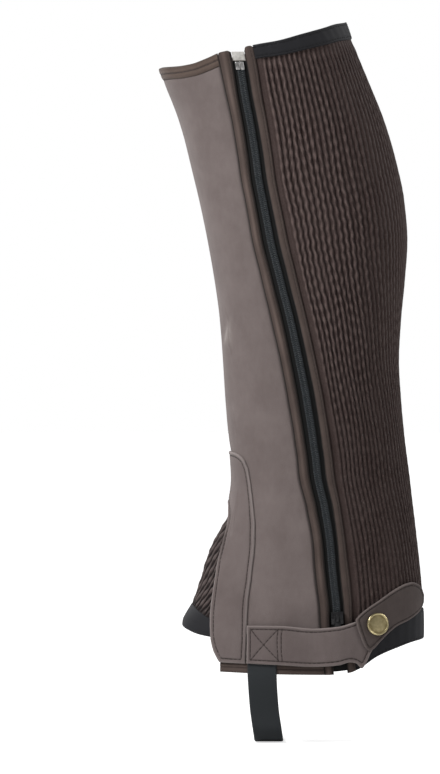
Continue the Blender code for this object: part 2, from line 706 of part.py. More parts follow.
def extruded(outline, depth, to_point):
    """A bar with the given outline, as a bmesh; to_point maps outline x, y and depth to local axes."""
    bm = bmesh.new()
    near = bm.faces.new([bm.verts.new(Vector(to_point(x, y, -depth / 2)) * MM) for x, y in outline])
    grown = bmesh.ops.extrude_face_region(bm, geom=[near])
    far = [item for item in grown["geom"] if isinstance(item, bmesh.types.BMVert)]
    shift = Vector(to_point(0, 0, depth / 2)) - Vector(to_point(0, 0, -depth / 2))
    bmesh.ops.translate(bm, verts=far, vec=shift * MM)
    bmesh.ops.recalc_face_normals(bm, faces=bm.faces)
    return bm


def helper(piece):
    piece.hide_render = True
    piece.display_type = "WIRE"
    return piece


def combine(piece, other, operation):
    change = piece.modifiers.new(operation.lower(), "BOOLEAN")
    change.operation = operation
    change.solver = "EXACT"
    change.object = helper(other)


def make_slider():
    lacquer = material("slider_black", (0.018, 0.018, 0.020), 0.35, 0.6)
    frame = slider_frame()
    half, inner = SLIDER_WIDTH / 2, SLIDER_WIDTH / 2 - FLANGE_WIDTH
    channel = [(-half, FLANGE_FOOT), (-inner, FLANGE_FOOT), (-inner, SLIDER_UNDERSIDE),
               (inner, SLIDER_UNDERSIDE), (inner, FLANGE_FOOT), (half, FLANGE_FOOT),
               (half, SLIDER_FACE), (-half, SLIDER_FACE)]
    body = extruded(channel, SLIDER_LENGTH, lambda x, y, depth: (x, depth, y))
    slider = finish_mesh("zip_slider", body, lacquer)
    reach, leg = BRIDGE_LENGTH / 2, BRIDGE_LENGTH / 2 - BRIDGE_LEG
    foot = SLIDER_FACE - 0.3
    staple = [(-reach, foot), (-leg, foot), (-leg, BRIDGE_UNDERSIDE), (leg, BRIDGE_UNDERSIDE),
              (leg, foot), (reach, foot), (reach, BRIDGE_TOP), (-reach, BRIDGE_TOP)]
    bridge = finish_mesh("slider_bridge_shape",
                         extruded(staple, BRIDGE_WIDTH, lambda x, y, depth: (depth, x, y)), lacquer)
    for piece in (slider, bridge):
        piece.matrix_world = frame
    combine(slider, bridge, "UNION")

    thickness, middle = PULL_HIGH - PULL_LOW, (PULL_HIGH + PULL_LOW) / 2
    start = 0.4 - leg                       # the bar lies just below the bridge's upper end
    eye_start, eye_end = start + PULL_BAR, reach + 0.4
    plate = block((PULL_WIDTH, PULL_LENGTH, thickness), (0, start + PULL_LENGTH / 2, middle))
    pull = finish_mesh("zip_pull", plate, lacquer)
    eye_size = (PULL_EYE_WIDTH, eye_end - eye_start, thickness * 3)
    opening = block(eye_size, (0, (eye_start + eye_end) / 2, middle))
    eye = finish_mesh("pull_eye_shape", opening, lacquer)
    for piece in (pull, eye):
        piece.matrix_world = frame
    combine(pull, eye, "DIFFERENCE")


# ------------------------------------------------------------------ strap, tab, snap and elastic
strap_stand_off = smooth_curve(column(STAND_OFFS, "back"), column(STAND_OFFS, "strap"))
tab_stand_off = smooth_curve(column(STAND_OFFS, "back"), column(STAND_OFFS, "tab"))


def upright(back):
    """A line that stays equally far back at the strap's level."""
    return seam([Place(back, -300.0), Place(back, -280.0), Place(back, -260.0), Place(back, -235.0)])


def laid_strip(name, first, last, columns, edges, rows, stand_off, thickness, leather, rounded):
    """A leather strip that lies over the zip and the calf panel at its own stand-off."""
    places = places_between([upright(first), upright(last)], [columns], edges, [rows], rounded)

    def lift_by(extra):
        def lift(row, place):
            height, girth = places[row][place]
            return stand_off(skin(height, girth)[1]) + extra
        return lift

    wall(name, points_of(places, lift_by(thickness)), points_of(places, lift_by(0.0)), leather)


def make_strap_and_tab():
    strap_suede = material("strap_suede", (0.165, 0.132, 0.128), 0.8)
    tab_leather = material("tab_leather", (0.088, 0.066, 0.062), 0.65)
    laid_strip("snap_strap", STRAP_TOP[0].back, STRAP_TOP[-1].back, 26, [edge(STRAP_BOTTOM), edge(STRAP_TOP)],
               2, strap_stand_off, STRAP_THICKNESS, strap_suede, False)
    laid_strip("heel_tab", TAB_TOP[0].back, TAB_TOP[-1].back, 20, [edge(TAB_BOTTOM), edge(TAB_TOP)],
               3, tab_stand_off, TAB_THICKNESS, tab_leather, True)


# Profile of the domed cap, from the middle of its top out and down to its seat.
CapRing = namedtuple("CapRing", "radius height")
SNAP_CAP = [
    CapRing(2.6, 2.72), CapRing(5.0, 2.5), CapRing(6.2, 2.3), CapRing(6.7, 2.75), CapRing(7.2, 3.0),
    CapRing(7.65, 2.7), CapRing(SNAP_RADIUS, 1.9), CapRing(7.5, 1.0), CapRing(6.4, 0.35),
    CapRing(4.2, 0.0),
]
SNAP_SIDES = 24


def make_snap():
    brass = material("snap_brass", (0.50, 0.42, 0.24), 0.35, 1.0)
    girth = girth_of(SNAP_PLACE.back, SNAP_PLACE.height)
    frame = local_frame(SNAP_PLACE.height, girth, (0, 0, 1))
    seat = tab_stand_off(SNAP_PLACE.back) + TAB_THICKNESS + LAYER_GAP
    bm = bmesh.new()
    rings = []
    for ring in SNAP_CAP:
        turned = []
        for k in range(SNAP_SIDES):
            angle = 2 * math.pi * k / SNAP_SIDES
            spot = Vector((ring.radius * math.cos(angle), ring.radius * math.sin(angle), seat + ring.height))
            turned.append(bm.verts.new(spot * MM))
        rings.append(turned)
    for upper, lower in zip(rings, rings[1:]):
        for k in range(SNAP_SIDES):
            n = (k + 1) % SNAP_SIDES
            bm.faces.new((upper[k], lower[k], lower[n], upper[n]))
    bm.faces.new(rings[0])
    bm.faces.new(rings[-1][::-1])
    bmesh.ops.recalc_face_normals(bm, faces=bm.faces)
    cap = finish_mesh("snap_cap", bm, brass, smooth=45.0)
    cap.matrix_world = frame


# Where the front edge of the elastic lies on its way down.
ELASTIC_EDGE = [Place(-41.6, -270.0), Place(-41.6, -298.0), Place(-40.4, -320.0), Place(-36.8, -346.0)]
ELASTIC_TOP = -273.0
ELASTIC_LEAVES = -298.0     # here it leaves the hem
elastic_edge = smooth_curve([-row.height for row in ELASTIC_EDGE], column(ELASTIC_EDGE, "back"))


def elastic_rows():
    """Stations down one side: height, how far out, share of the worn curve kept and facing angle."""
    side = skin(ELASTIC_LEAVES, girth_of(-32.0, ELASTIC_LEAVES))[0] + LAYER_GAP
    rows = []
    for height in (ELASTIC_TOP, -281.0, -289.5, ELASTIC_LEAVES):
        rows.append((height, None, 1.0, 0.0))
    turn_height = ELASTIC_UNDERFOOT + ELASTIC_CORNER
    for k in range(1, 4):
        share = k / 4
        height = ELASTIC_LEAVES + (turn_height - ELASTIC_LEAVES) * share
        out = side + (ELASTIC_HALF_SPAN - side) * (3 * share ** 2 - 2 * share ** 3)
        rows.append((height, out, 1 - share, 0.0))
    for k in range(6):
        angle = math.pi / 2 * k / 5
        out = ELASTIC_HALF_SPAN - ELASTIC_CORNER * (1 - math.cos(angle))
        rows.append((turn_height - ELASTIC_CORNER * math.sin(angle), out, 0.0, angle))
    rows.append((ELASTIC_UNDERFOOT, ELASTIC_HALF_SPAN / 3, 0.0, math.pi / 2))
    return rows


def make_elastic():
    elastic = material("foot_elastic_black", (0.026, 0.028, 0.031), 0.85)
    columns = 4
    outer, inner = [], []
    middle = columns // 2
    for side in (-1, 1):
        lines = []
        for height, out, kept, angle in elastic_rows():
            backs = [elastic_edge(-height) + ELASTIC_WIDTH * j / columns for j in range(columns + 1)]
            hugging = [lifted(max(height, ELASTIC_LEAVES), side * girth_of(back, max(height, ELASTIC_LEAVES)),
                              LAYER_GAP) for back in backs]
            if out is None:
                reach = [lifted(height, side * girth_of(back, height), LAYER_GAP + ELASTIC_THICKNESS)
                         for back in backs]
                lines.append((hugging, reach))
                continue
            near, far = [], []
            for j, back in enumerate(backs):
                bow = kept * (hugging[j][0] - hugging[middle][0])
                spot = np.array((side * out + bow, back, height))
                facing = np.array((side * math.cos(angle), 0.0, -math.sin(angle)))
                near.append(spot)
                far.append(spot + facing * ELASTIC_THICKNESS)
            lines.append((near, far))
        if side > 0:
            lines = lines[::-1]
        inner += [line[0] for line in lines]
        outer += [line[1] for line in lines]
    wall("foot_elastic", outer, inner, elastic)


def clear_scene():
    for old in list(bpy.data.objects):
        bpy.data.objects.remove(old)


def main():
    clear_scene()
    make_wrap()
    make_wrap_bindings()
    make_calf_panel()
    make_calf_bands()
    make_gusset()
    make_zip_bindings()
    make_zip_tapes()
    make_zip_chain()
    make_zip_end()
    make_slider()
    make_strap_and_tab()
    make_snap()
    make_elastic()


main()
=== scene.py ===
import math
from collections import namedtuple

import bmesh
import bpy
import numpy as np
from mathutils import Matrix, Vector


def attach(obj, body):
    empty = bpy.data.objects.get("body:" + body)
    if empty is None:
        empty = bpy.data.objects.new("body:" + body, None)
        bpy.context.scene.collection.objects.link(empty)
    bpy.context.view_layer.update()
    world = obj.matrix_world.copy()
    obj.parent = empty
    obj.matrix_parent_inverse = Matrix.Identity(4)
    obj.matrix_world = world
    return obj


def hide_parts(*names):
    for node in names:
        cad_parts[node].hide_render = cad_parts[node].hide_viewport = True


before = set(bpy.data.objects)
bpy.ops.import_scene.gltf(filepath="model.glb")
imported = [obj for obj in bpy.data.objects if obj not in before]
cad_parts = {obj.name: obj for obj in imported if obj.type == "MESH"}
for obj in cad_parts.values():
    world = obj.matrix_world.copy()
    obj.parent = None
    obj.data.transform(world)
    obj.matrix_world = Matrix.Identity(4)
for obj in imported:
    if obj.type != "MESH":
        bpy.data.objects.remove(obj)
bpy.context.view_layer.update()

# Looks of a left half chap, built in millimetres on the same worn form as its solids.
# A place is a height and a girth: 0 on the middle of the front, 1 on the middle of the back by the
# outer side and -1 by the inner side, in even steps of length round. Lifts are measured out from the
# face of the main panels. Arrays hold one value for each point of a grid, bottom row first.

MM = 0.001
BODY = "root"

# ------------------------------------------------------------------ driving sizes
SEAM_GAP = 0.02
HALF_GAP = SEAM_GAP / 2
LAYER_GAP = 0.35
SUEDE = 1.6
PATCH_THICKNESS = 1.3
FOLD_EXTRA = 0.2
TOP_BINDING_HEIGHT = 8
HEM_BINDING_HEIGHT = 6.5
REAR_HEM_BAND_HEIGHT = 21
REAR_TOP_BAND_HEIGHT = 9
REAR_TOP_BAND_GROWTH = 2.6
BAND_THICKNESS = 1.8
STITCH_INSET = 2.7          # from a cut edge to its row of stitches
BINDING_FOLDS = 1.65        # how much wider a binding is cut than it shows
TOP_BINDING_FOLDS = 1.4
STRAP_THICKNESS = 1.5
TAB_THICKNESS = 1.6
RIBS = 48
GUSSET_HALF_WIDTH = 38
GUSSET_BAND_HALF_WIDTH = 42.5
TUCK = 3
INNER_FLATTEN = 0.96
SHIN_ROUNDNESS = 2.15
CALF_ROUNDNESS = 2.3
CHAIN_START = 117
CHAIN_END = -265
ZIP_TOP_STOP = 123.4
TAPE_ABOVE_HEM = 2


# ------------------------------------------------------------------ tables
def table(kind, *rows):
    return [kind(*row) for row in rows]


# One row for each level: the front and back outlines, where the hollow is widest and half its width.
Level = namedtuple("Level", "height shin calf widest half_width")
LEVELS = table(
    Level, (-310, -93.5, 80.6, 2, 44.5), (-290, -94, 80.8, 3, 44.5), (-276, -93, 80.9, 4, 44.5),
    (-262, -89.6, 80.8, 5, 44), (-248, -81.8, 80.2, 6, 43.5), (-235, -75.4, 79.2, 7, 43),
    (-221, -70.4, 77.8, 8, 43), (-207, -64.6, 76.2, 9, 43), (-193, -57.9, 74.6, 9, 43),
    (-179, -53.2, 72.9, 9, 43), (-165, -51.6, 71.3, 9, 43.2), (-152, -52.2, 69.6, 9, 43.6),
    (-138, -54.4, 67.8, 8.5, 44.4), (-110, -57, 65.2, 8, 46.4), (-83, -58.7, 63.8, 8, 49),
    (-55, -60.8, 65.2, 8, 51.8), (-28, -64.4, 67.8, 7, 54), (0, -69.3, 69.6, 4, 55.4),
    (28, -75.1, 67.4, 0, 56), (55, -81.6, 61.8, -6, 56), (83, -89.2, 53.6, -14, 55.6),
    (110, -99.4, 42.8, -23, 55), (131, -108, 34.2, -30, 54.6), (150, -115.6, 27.6, -37, 54.2),
    (168, -122.4, 21, -43, 54))
# The four seams beside the zip: how far back each runs on the outer side.
ZipSeam = namedtuple("ZipSeam", "height wrap_seam tape_front tape_rear rib_seam")
ZIP_SEAMS = table(
    ZipSeam, (-310, 12.6, 19, 28.6, 34.4), (-262, 7.9, 15.2, 24.8, 30.6),
    (-235, 5.1, 12.6, 22.5, 28.8), (-208, 2.9, 10.1, 20.1, 25.6), (-185, -1.2, 6.1, 17, 22.3),
    (-160, -6.9, 0.7, 11.8, 17.7), (-138, -9.5, -2.2, 9.1, 14.9), (-110, -14.1, -6.7, 4.8, 10.4),
    (-83, -19.2, -11.8, -0.5, 5), (-55, -25.6, -17.7, -6.6, -1.2), (-28, -32, -24.5, -13.4, -7.7),
    (5, -39.6, -32.4, -21.3, -15.4), (35, -45.1, -38, -27.4, -21.6), (60, -49, -41.6, -31.2, -25.3),
    (90, -54.4, -46.6, -36.6, -30.4), (124, -61.9, -52.4, -42.8, -36.2),
    (150, -67.2, -57.4, -48, -41.6))
# Outlines on the outer side, each place by how far back it is and its height.
Place = namedtuple("Place", "back height")
RIM_OUTER = table(
    Place, (-103.4, 119.2), (-92, 119.8), (-81.4, 121.4), (-70, 125.4), (-60, 129.6), (-52, 131.2),
    (-42.6, 133.4), (-34, 135.2), (-21.6, 137.4), (-3.8, 142.4), (10, 146.4), (20, 149.8),
    (26.9, 151.8))
RIM_INNER = table(
    Place, (-103.4, 119.2), (-90, 120.2), (-70, 124), (-45, 130.6), (-20, 137.4), (0, 143.2),
    (16, 148.6), (26.9, 151.8))
HEM_OUTER = table(
    Place, (-60, -297.6), (-40, -298.4), (-16, -299.2), (12, -299.4), (27, -298.2), (34, -296),
    (48.3, -286.8), (60.7, -281.6), (74, -277.2), (80.8, -275.4))
HEM_INNER = table(
    Place, (-60, -297.6), (-40, -298.4), (-16, -298.6), (12, -295.8), (40, -288.6), (60, -281.8),
    (74, -277.2), (80.8, -275.4))
PATCH_TOP = table(
    Place, (-53.3, -145.6), (-50, -146.6), (-46.9, -148.2), (-43.6, -151.4), (-41.2, -157))
PATCH_SIDE = table(
    Place, (-42.9, -300), (-42.5, -277), (-42.1, -262), (-41.4, -248.4), (-39, -231), (-37.3, -216),
    (-36.4, -197), (-37.4, -182), (-39.4, -166), (-41.6, -154))
STRAP_TOP = table(
    Place, (-41.7, -265.6), (-18.6, -265.7), (3.5, -267.4), (20, -266.2), (31.7, -262.9),
    (40, -259.4), (49, -255))
STRAP_BOTTOM = table(
    Place, (-41.7, -291.6), (-19.7, -292.6), (3.5, -293.8), (20.4, -292.6), (28.6, -290.6),
    (32.4, -291.2), (36.6, -294.8), (40, -290.4), (43.5, -283), (49, -277))
TAB_TOP = table(
    Place, (32.1, -261), (34.5, -258.1), (40.7, -253.2), (48.3, -248.1), (54.5, -243.8),
    (63.5, -238.6), (67.6, -236.9), (71.1, -236.2), (74.5, -237.2), (77.3, -240), (78.8, -244.6))
TAB_BOTTOM = table(
    Place, (32.1, -263.6), (34.5, -271.2), (36.6, -276.7), (38.6, -280.8), (41.4, -283),
    (44.9, -281), (48.3, -277.2), (55.9, -269.8), (60.7, -266.3), (68.3, -262.7), (73.1, -259.4),
    (77.3, -255), (78.8, -251))
SNAP_PLACE = Place(46.2, -264.5)
# Edges alike on both sides: how far round from the middle of the front, and the height there.
Around = namedtuple("Around", "around height")
ARCH = table(
    Around, (0, -182), (6, -183.6), (12, -188), (17, -194.6), (20.5, -202.6), (23, -212.8),
    (25, -225.3), (28, -237), (33.5, -250.4), (40, -263.6), (43.6, -275.3), (47, -284),
    (51.5, -291.2))
GUSSET_BAND_TOP = table(Around, (0, -249.6), (12, -251.6), (25, -256), (38, -261), (46, -263))
GUSSET_BAND_BOTTOM = table(Around, (0, -264.8), (15, -268), (30, -271.8), (46, -274.4))
InnerSeam = namedtuple("InnerSeam", "girth height")
INNER_SEAM = table(InnerSeam, (-0.54, -300), (-0.56, -180), (-0.63, -60), (-0.64, 0), (-0.64, 150))
# How far the strap and the tab stand off on their way over the zip and on to the back.
StandOff = namedtuple("StandOff", "back strap tab")
STAND_OFFS = table(
    StandOff, (-45, 1.95, 3.9), (2, 2, 3.9), (13, 3.3, 3.9), (20, 3.65, 3.9), (27, 3.1, 3.9),
    (34, 1.9, 3.8), (42, 0.9, 2.8), (50, 0.4, 2.15), (60, 0.3, 0.8), (70, 0.3, 0.4), (81, 0.3, 0.35))
# Soft troughs and ridges of the suede. Around is from the front towards the outer side, lean is how far
# the crease leans back from upright, and a positive depth stands out.
Crease = namedtuple("Crease", "around height length width depth lean")
STRAP_PULL = Crease(116, -265, 9.5, 26, -2.2, 90)
CREASES = table(
    Crease, (21, -65.5, 9, 3.6, 0.45, 43), (16.5, -60.7, 10, 5, -0.62, 43), (30, 88, 24, 13, -0.6, 62),
    (24, 106, 30, 9, 0.35, 70), (42, 40, 36, 12, -0.45, 12), (16, 20, 28, 9, 0.35, -8),
    (36, -28, 30, 10, 0.4, 20), (46, -96, 34, 9, -0.5, 14), (30, -122, 20, 8, 0.4, 58),
    (58, -160, 30, 10, 0.45, 8), (54, -205, 22, 9, -0.45, 66), (66, -238, 24, 8, 0.45, 80),
    (62, -254, 30, 6, -0.55, 86), (14, -166, 12, 7, -0.35, 50), (38, -222, 26, 8, 0.35, 6),
    (-26, -58, 12, 5, -0.5, -30), (-40, 74, 30, 12, -0.5, -58), (-60, 20, 36, 11, 0.4, -14),
    (-84, -60, 40, 12, -0.45, -10), (-50, -130, 26, 9, 0.4, -52), (-72, -200, 26, 10, -0.5, -70),
    (-40, -236, 24, 8, 0.35, -10))


# ------------------------------------------------------------------ curves and the worn form
def smooth_curve(places, values):
    """A smooth function through values given at rising places; it never swings past its points."""
    places, values = np.asarray(places, float), np.asarray(values, float)
    spans, grades = np.diff(places), np.diff(values) / np.diff(places)
    slopes = np.concatenate(([grades[0]], np.zeros(len(places) - 2), [grades[-1]]))
    for i in range(1, len(places) - 1):
        before, after = grades[i - 1], grades[i]
        if before * after > 0:
            near, far = 2 * spans[i] + spans[i - 1], spans[i] + 2 * spans[i - 1]
            slopes[i] = (near + far) / (near / before + far / after)

    def value(place):
        place = np.clip(place, places[0], places[-1])
        i = np.clip(np.searchsorted(places, place, side="right") - 1, 0, len(places) - 2)
        span = spans[i]
        t = (place - places[i]) / span
        start = values[i] * (1 + 2 * t) * (1 - t) ** 2 + span * slopes[i] * t * (1 - t) ** 2
        end = values[i + 1] * t * t * (3 - 2 * t) - span * slopes[i + 1] * t * t * (1 - t)
        return start + end

    return value


def curve_of(rows, place, value):
    """The smooth curve of one column of a table against another."""
    return smooth_curve([getattr(row, place) for row in rows], [getattr(row, value) for row in rows])


LEVEL_CURVES = [curve_of(LEVELS, "height", name) for name in Level._fields[1:]]
SWEEP = np.linspace(0, math.pi, 721)


def half_ring(height, side):
    """Half a level ring, front to back: across, back and length so far at each of its points."""
    shin, calf, widest, half_width = [float(curve(height)) for curve in LEVEL_CURVES]
    cosine = np.cos(SWEEP)
    power = np.where(cosine > 0, 2 / SHIN_ROUNDNESS, 2 / CALF_ROUNDNESS)
    reach = np.where(cosine > 0, shin - widest, calf - widest)
    back = widest + reach * np.abs(cosine) ** power
    width = half_width * (1 if side > 0 else INNER_FLATTEN)
    across = side * width * np.sin(SWEEP).clip(0) ** power
    steps = np.hypot(np.diff(across), np.diff(back))
    return across, back, np.concatenate(([0], np.cumsum(steps)))


def survey_form():
    """Places and outward directions on a close grid of heights and girths, and each half girth."""
    heights, girths = np.arange(-316, 176, 1.5), np.linspace(-1, 1, 721)
    places = np.zeros((len(heights), len(girths), 3))
    places[..., 2] = heights[:, None]
    halves = np.zeros(len(heights))
    for i, height in enumerate(heights):
        for side in (-1, 1):
            across, back, run = half_ring(height, side)
            mine = girths * side >= 0
            length = np.abs(girths[mine]) * run[-1]
            places[i, mine, 0] = np.interp(length, run, across)
            places[i, mine, 1] = np.interp(length, run, back)
        halves[i] = run[-1]
    ring = places[:, :-1]
    along = np.roll(ring, -1, axis=1) - np.roll(ring, 1, axis=1)
    along = np.concatenate((along, along[:, :1]), axis=1)
    outward = np.cross(along, np.gradient(places, axis=0))
    return heights, girths, places, outward / np.linalg.norm(outward, axis=2, keepdims=True), halves


HEIGHTS, GIRTHS, FORM_PLACES, FORM_OUTWARD, HALF_GIRTHS = survey_form()


def half_girth(height):
    return np.interp(height, HEIGHTS, HALF_GIRTHS)


def signed(girth):
    """The same girth, counted from -1 to 1."""
    return (girth + 1) % 2 - 1


def fold(girth):
    return np.abs(signed(girth))


def form_at(height, girth):
    """The place and the outward direction of the worn form, for arrays of heights and girths."""
    height, girth = np.broadcast_arrays(np.asarray(height, float), np.asarray(girth, float))
    row = np.clip((height - HEIGHTS[0]) / (HEIGHTS[1] - HEIGHTS[0]), 0, len(HEIGHTS) - 1.001)
    turn = np.clip((signed(girth) + 1) / (GIRTHS[1] - GIRTHS[0]), 0, len(GIRTHS) - 1.001)
    i, j = row.astype(int), turn.astype(int)
    s, t = (row - i)[..., None], (turn - j)[..., None]
    place, outward = [
        (field[i, j] * (1 - t) + field[i, j + 1] * t) * (1 - s)
        + (field[i + 1, j] * (1 - t) + field[i + 1, j + 1] * t) * s for field in (FORM_PLACES, FORM_OUTWARD)]
    place[..., 2] = height
    return place, outward / np.linalg.norm(outward, axis=-1, keepdims=True)


def on_form(height, girth, lift=0):
    place, outward = form_at(height, girth)
    return place + outward * np.asarray(lift, float)[..., None]


def girth_of(back, height):
    """The girth at which the outer side lies that far back."""
    _, backs, run = half_ring(height, 1)
    return float(np.interp(back, backs, run) / run[-1])


def seam(rows):
    """A line that runs up the outer side: its girth at each rising height."""
    return smooth_curve([row.height for row in rows], [girth_of(row.back, row.height) for row in rows])


def edge(rows):
    """A line that runs round the outer side: its height at each girth."""
    return smooth_curve([girth_of(row.back, row.height) for row in rows], [row.height for row in rows])


def round_from_shin(rows):
    """An edge given by lengths round from the middle of the front, alike on both sides."""
    line = smooth_curve([row.around / half_girth(row.height) for row in rows], [row.height for row in rows])
    return lambda girth: line(fold(girth))


def moved(line, distance):
    """The same seam, moved round the garment by a distance."""
    return lambda height: line(height) + distance / half_girth(height)


def between(left, right):
    """Two seams, each drawn in by half the gap at a seam."""
    return moved(left, HALF_GAP), moved(right, -HALF_GAP)


def raised(line, distance):
    return lambda girth: line(girth) + distance


def both_sides(outer, inner):
    """An edge that follows one line on the outer side and another on the inner side."""
    return lambda girth: np.where(signed(girth) >= 0, outer(fold(girth)), inner(fold(girth)))


def upright_at(distance):
    """A line that keeps its distance round from the middle of the front."""
    return lambda height: distance / half_girth(height)


def level_at(height):
    return lambda girth: np.full(np.shape(girth), float(height))


wrap_seam, tape_front, tape_rear, rib_seam = [
    seam([Place(getattr(row, name), row.height) for row in ZIP_SEAMS]) for name in ZipSeam._fields[1:]]
inner_seam = curve_of(INNER_SEAM, "height", "girth")
rim = both_sides(edge(RIM_OUTER), edge(RIM_INNER))
hem = both_sides(edge(HEM_OUTER), edge(HEM_INNER))
arch_line = round_from_shin(ARCH)
patch_top_line = edge(PATCH_TOP)
patch_side = seam(PATCH_SIDE)
gusset_band_top = round_from_shin(GUSSET_BAND_TOP)
gusset_band_bottom = round_from_shin(GUSSET_BAND_BOTTOM)
flap_corner = ARCH[-1].around / float(half_girth(ARCH[-1].height))
strap_stand_off = curve_of(STAND_OFFS, "back", "strap")
tab_stand_off = curve_of(STAND_OFFS, "back", "tab")


def inner_seam_behind(height):
    """The inner seam reached by way of the back."""
    return inner_seam(height) + 2


def zip_middle(height):
    return (tape_front(height) + tape_rear(height)) / 2


def wrap_bottom(girth):
    """Lower edge of the wrap: the arch at the front, then level above the hem binding."""
    return np.where(fold(girth) < flap_corner, arch_line(girth), hem(girth) + HEM_BINDING_HEIGHT)


def gusset_top(girth):
    """The wedge ends under the flaps, a little past their edges."""
    return arch_line(np.maximum(fold(girth) - TUCK / half_girth(-220), 0)) + 2


def rear_band_bottom(girth):
    """The elastic at the top grows a little towards the back."""
    share = np.clip((fold(girth) - 0.45) / 0.4, 0, 1)
    return rim(girth) - REAR_TOP_BAND_HEIGHT - REAR_TOP_BAND_GROWTH * share


# ------------------------------------------------------------------ grids on the worn form
EVEN = (0,)
CUT_EDGE = (0, 0.12, 0.3, 0.6, 1, 1.5, 2, 2.4, 2.7, 3, 3.4, 4)      # close points by a cut edge


def stations(ends, middle):
    """Shares of a length: at given distances from both ends, and in even steps between them."""
    ends = np.array(ends, float)
    last = len(ends) - 1
    count = middle + 2 * last

    def shares(index, length):
        squeeze = np.minimum(1, length / (2.4 * ends[-1] + 1e-6)) / length
        low = ends[np.clip(index, 0, last)] * squeeze
        high = 1 - ends[np.clip(count - index, 0, last)] * squeeze
        begin = ends[-1] * squeeze
        inside = begin + (1 - 2 * begin) * (index - last) / middle
        return np.where(index <= last, low, np.where(index >= count - last, high, inside))

    return count, shares


def grid_between(left, right, bottom, top, across, up):
    """Height and girth at each crossing of a grid held between two seams and two edges."""
    j, i = np.meshgrid(np.arange(across[0] + 1), np.arange(up[0] + 1))
    height = np.full(i.shape, -80.0)
    for _ in range(20):
        start, end = left(height), right(height)
        girth = start + (end - start) * across[1](j, (end - start) * half_girth(height))
        low, high = bottom(girth), top(girth)
        height = low + (high - low) * up[1](i, high - low)
    return height, girth


def chart(height, girth):
    """Flat coordinates of places: how far round and how high, in millimetres."""
    return np.stack((girth * half_girth(height), height), axis=-1)


def from_chart(flat):
    return flat[..., 1], flat[..., 0] / half_girth(flat[..., 1])


def outline_of(height, girth):
    """The outline of a grid in flat coordinates, anticlockwise, its first point not repeated."""
    flat = chart(height, girth)
    return np.concatenate((flat[0, :-1], flat[:-1, -1], flat[-1, :0:-1], flat[:0:-1, 0]))


def resampled(line, pitch, closed=True):
    """The same line with evenly spaced points."""
    if closed:
        line = np.concatenate((line, line[:1]))
    run = np.concatenate(([0], np.cumsum(np.linalg.norm(np.diff(line, axis=0), axis=1))))
    marks = np.linspace(0, run[-1], max(round(run[-1] / pitch), 1) + 1)
    spread = np.stack([np.interp(marks, run, line[:, k]) for k in range(line.shape[1])], axis=1)
    return spread[:-1] if closed else spread


def distance_to(points, line):
    """Distance of every point to the nearest point of a close line."""
    flat = points.reshape(-1, points.shape[-1])
    best = np.full(len(flat), np.inf)
    for start in range(0, len(line), 40):
        gaps = flat[:, None, :] - line[None, start:start + 40, :]
        best = np.minimum(best, (gaps ** 2).sum(axis=2).min(axis=1))
    return np.sqrt(best).reshape(points.shape[:-1])


def away_from(base, line, pitch, closed=True):
    """Distance of places on the form to a line given in flat coordinates."""
    return distance_to(base, on_form(*from_chart(resampled(line, pitch, closed))))


def inset(outline, distance):
    """The row of points that runs inside a closed outline at a distance."""
    close = resampled(outline, 0.5)
    along = np.roll(close, -2, axis=0) - np.roll(close, 2, axis=0)
    along /= np.linalg.norm(along, axis=1, keepdims=True)
    row = close + np.stack((-along[:, 1], along[:, 0]), axis=1) * distance
    row = row[distance_to(row, close) > distance - 0.08]
    for _ in range(6):
        row = (np.roll(row, 1, axis=0) + 2 * row + np.roll(row, -1, axis=0)) / 4
    return row


def rolled(distance, radius):
    """0 at a cut edge and 1 from the radius inwards, along a quarter round."""
    return np.sqrt(1 - np.clip(1 - distance / radius, 0, 1) ** 2)


def dip(distance, width):
    return np.exp(-(distance / width) ** 2)


def eased(value, start, end):
    share = np.clip((value - start) / (end - start), 0, 1)
    return share * share * (3 - 2 * share)


def by_crease(crease, height, girth):
    """Lengths along and across one crease, which bows a little."""
    lean = math.radians(crease.lean)
    away = chart(height, signed(girth)) - np.array((crease.around, crease.height))
    along = away[..., 1] * math.cos(lean) + away[..., 0] * math.sin(lean)
    across = away[..., 0] * math.cos(lean) - away[..., 1] * math.sin(lean)
    return along, across + 0.012 * along ** 2 * math.copysign(1, crease.depth)


def creased(height, girth):
    """Lift of the suede's soft troughs and ridges, which die out beside the seams and the rim."""
    total = np.zeros(np.shape(height))
    for crease in CREASES:
        along, across = by_crease(crease, height, girth)
        total += crease.depth * dip(along, crease.length) * dip(across, crease.width)
    half = half_girth(height)
    gaps = ((wrap_seam(height) - signed(girth)) * half, (signed(girth) - inner_seam(height)) * half,
            rim(girth) - height)
    return total * np.prod([eased(gap, 2, 16) for gap in gaps], axis=0)


def drawn_in(height, girth):
    """How far the strap draws the cloth in around the zip."""
    flat = chart(height, signed(girth))
    return (STRAP_PULL.depth * dip(flat[..., 0] - STRAP_PULL.around, STRAP_PULL.width)
            * dip(flat[..., 1] - STRAP_PULL.height, STRAP_PULL.length))


# ------------------------------------------------------------------ meshes
def new_piece(name, mesh, material, angle=45):
    """An object at the origin, smooth but for its edges sharper than an angle."""
    mesh.materials.append(material)
    mesh.shade_smooth()
    mesh.set_sharp_from_angle(angle=math.radians(angle))
    piece = bpy.data.objects.new(name, mesh)
    bpy.context.scene.collection.objects.link(piece)
    return piece


def piece_from(bm, name, material, angle=45):
    mesh = bpy.data.meshes.new(name)
    bm.to_mesh(mesh)
    bm.free()
    return new_piece(name, mesh, material, angle)


def dress(piece, node=None):
    """The piece rides with the garment and stands for its node."""
    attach(piece, BODY)
    if node:
        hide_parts(node)
    return piece


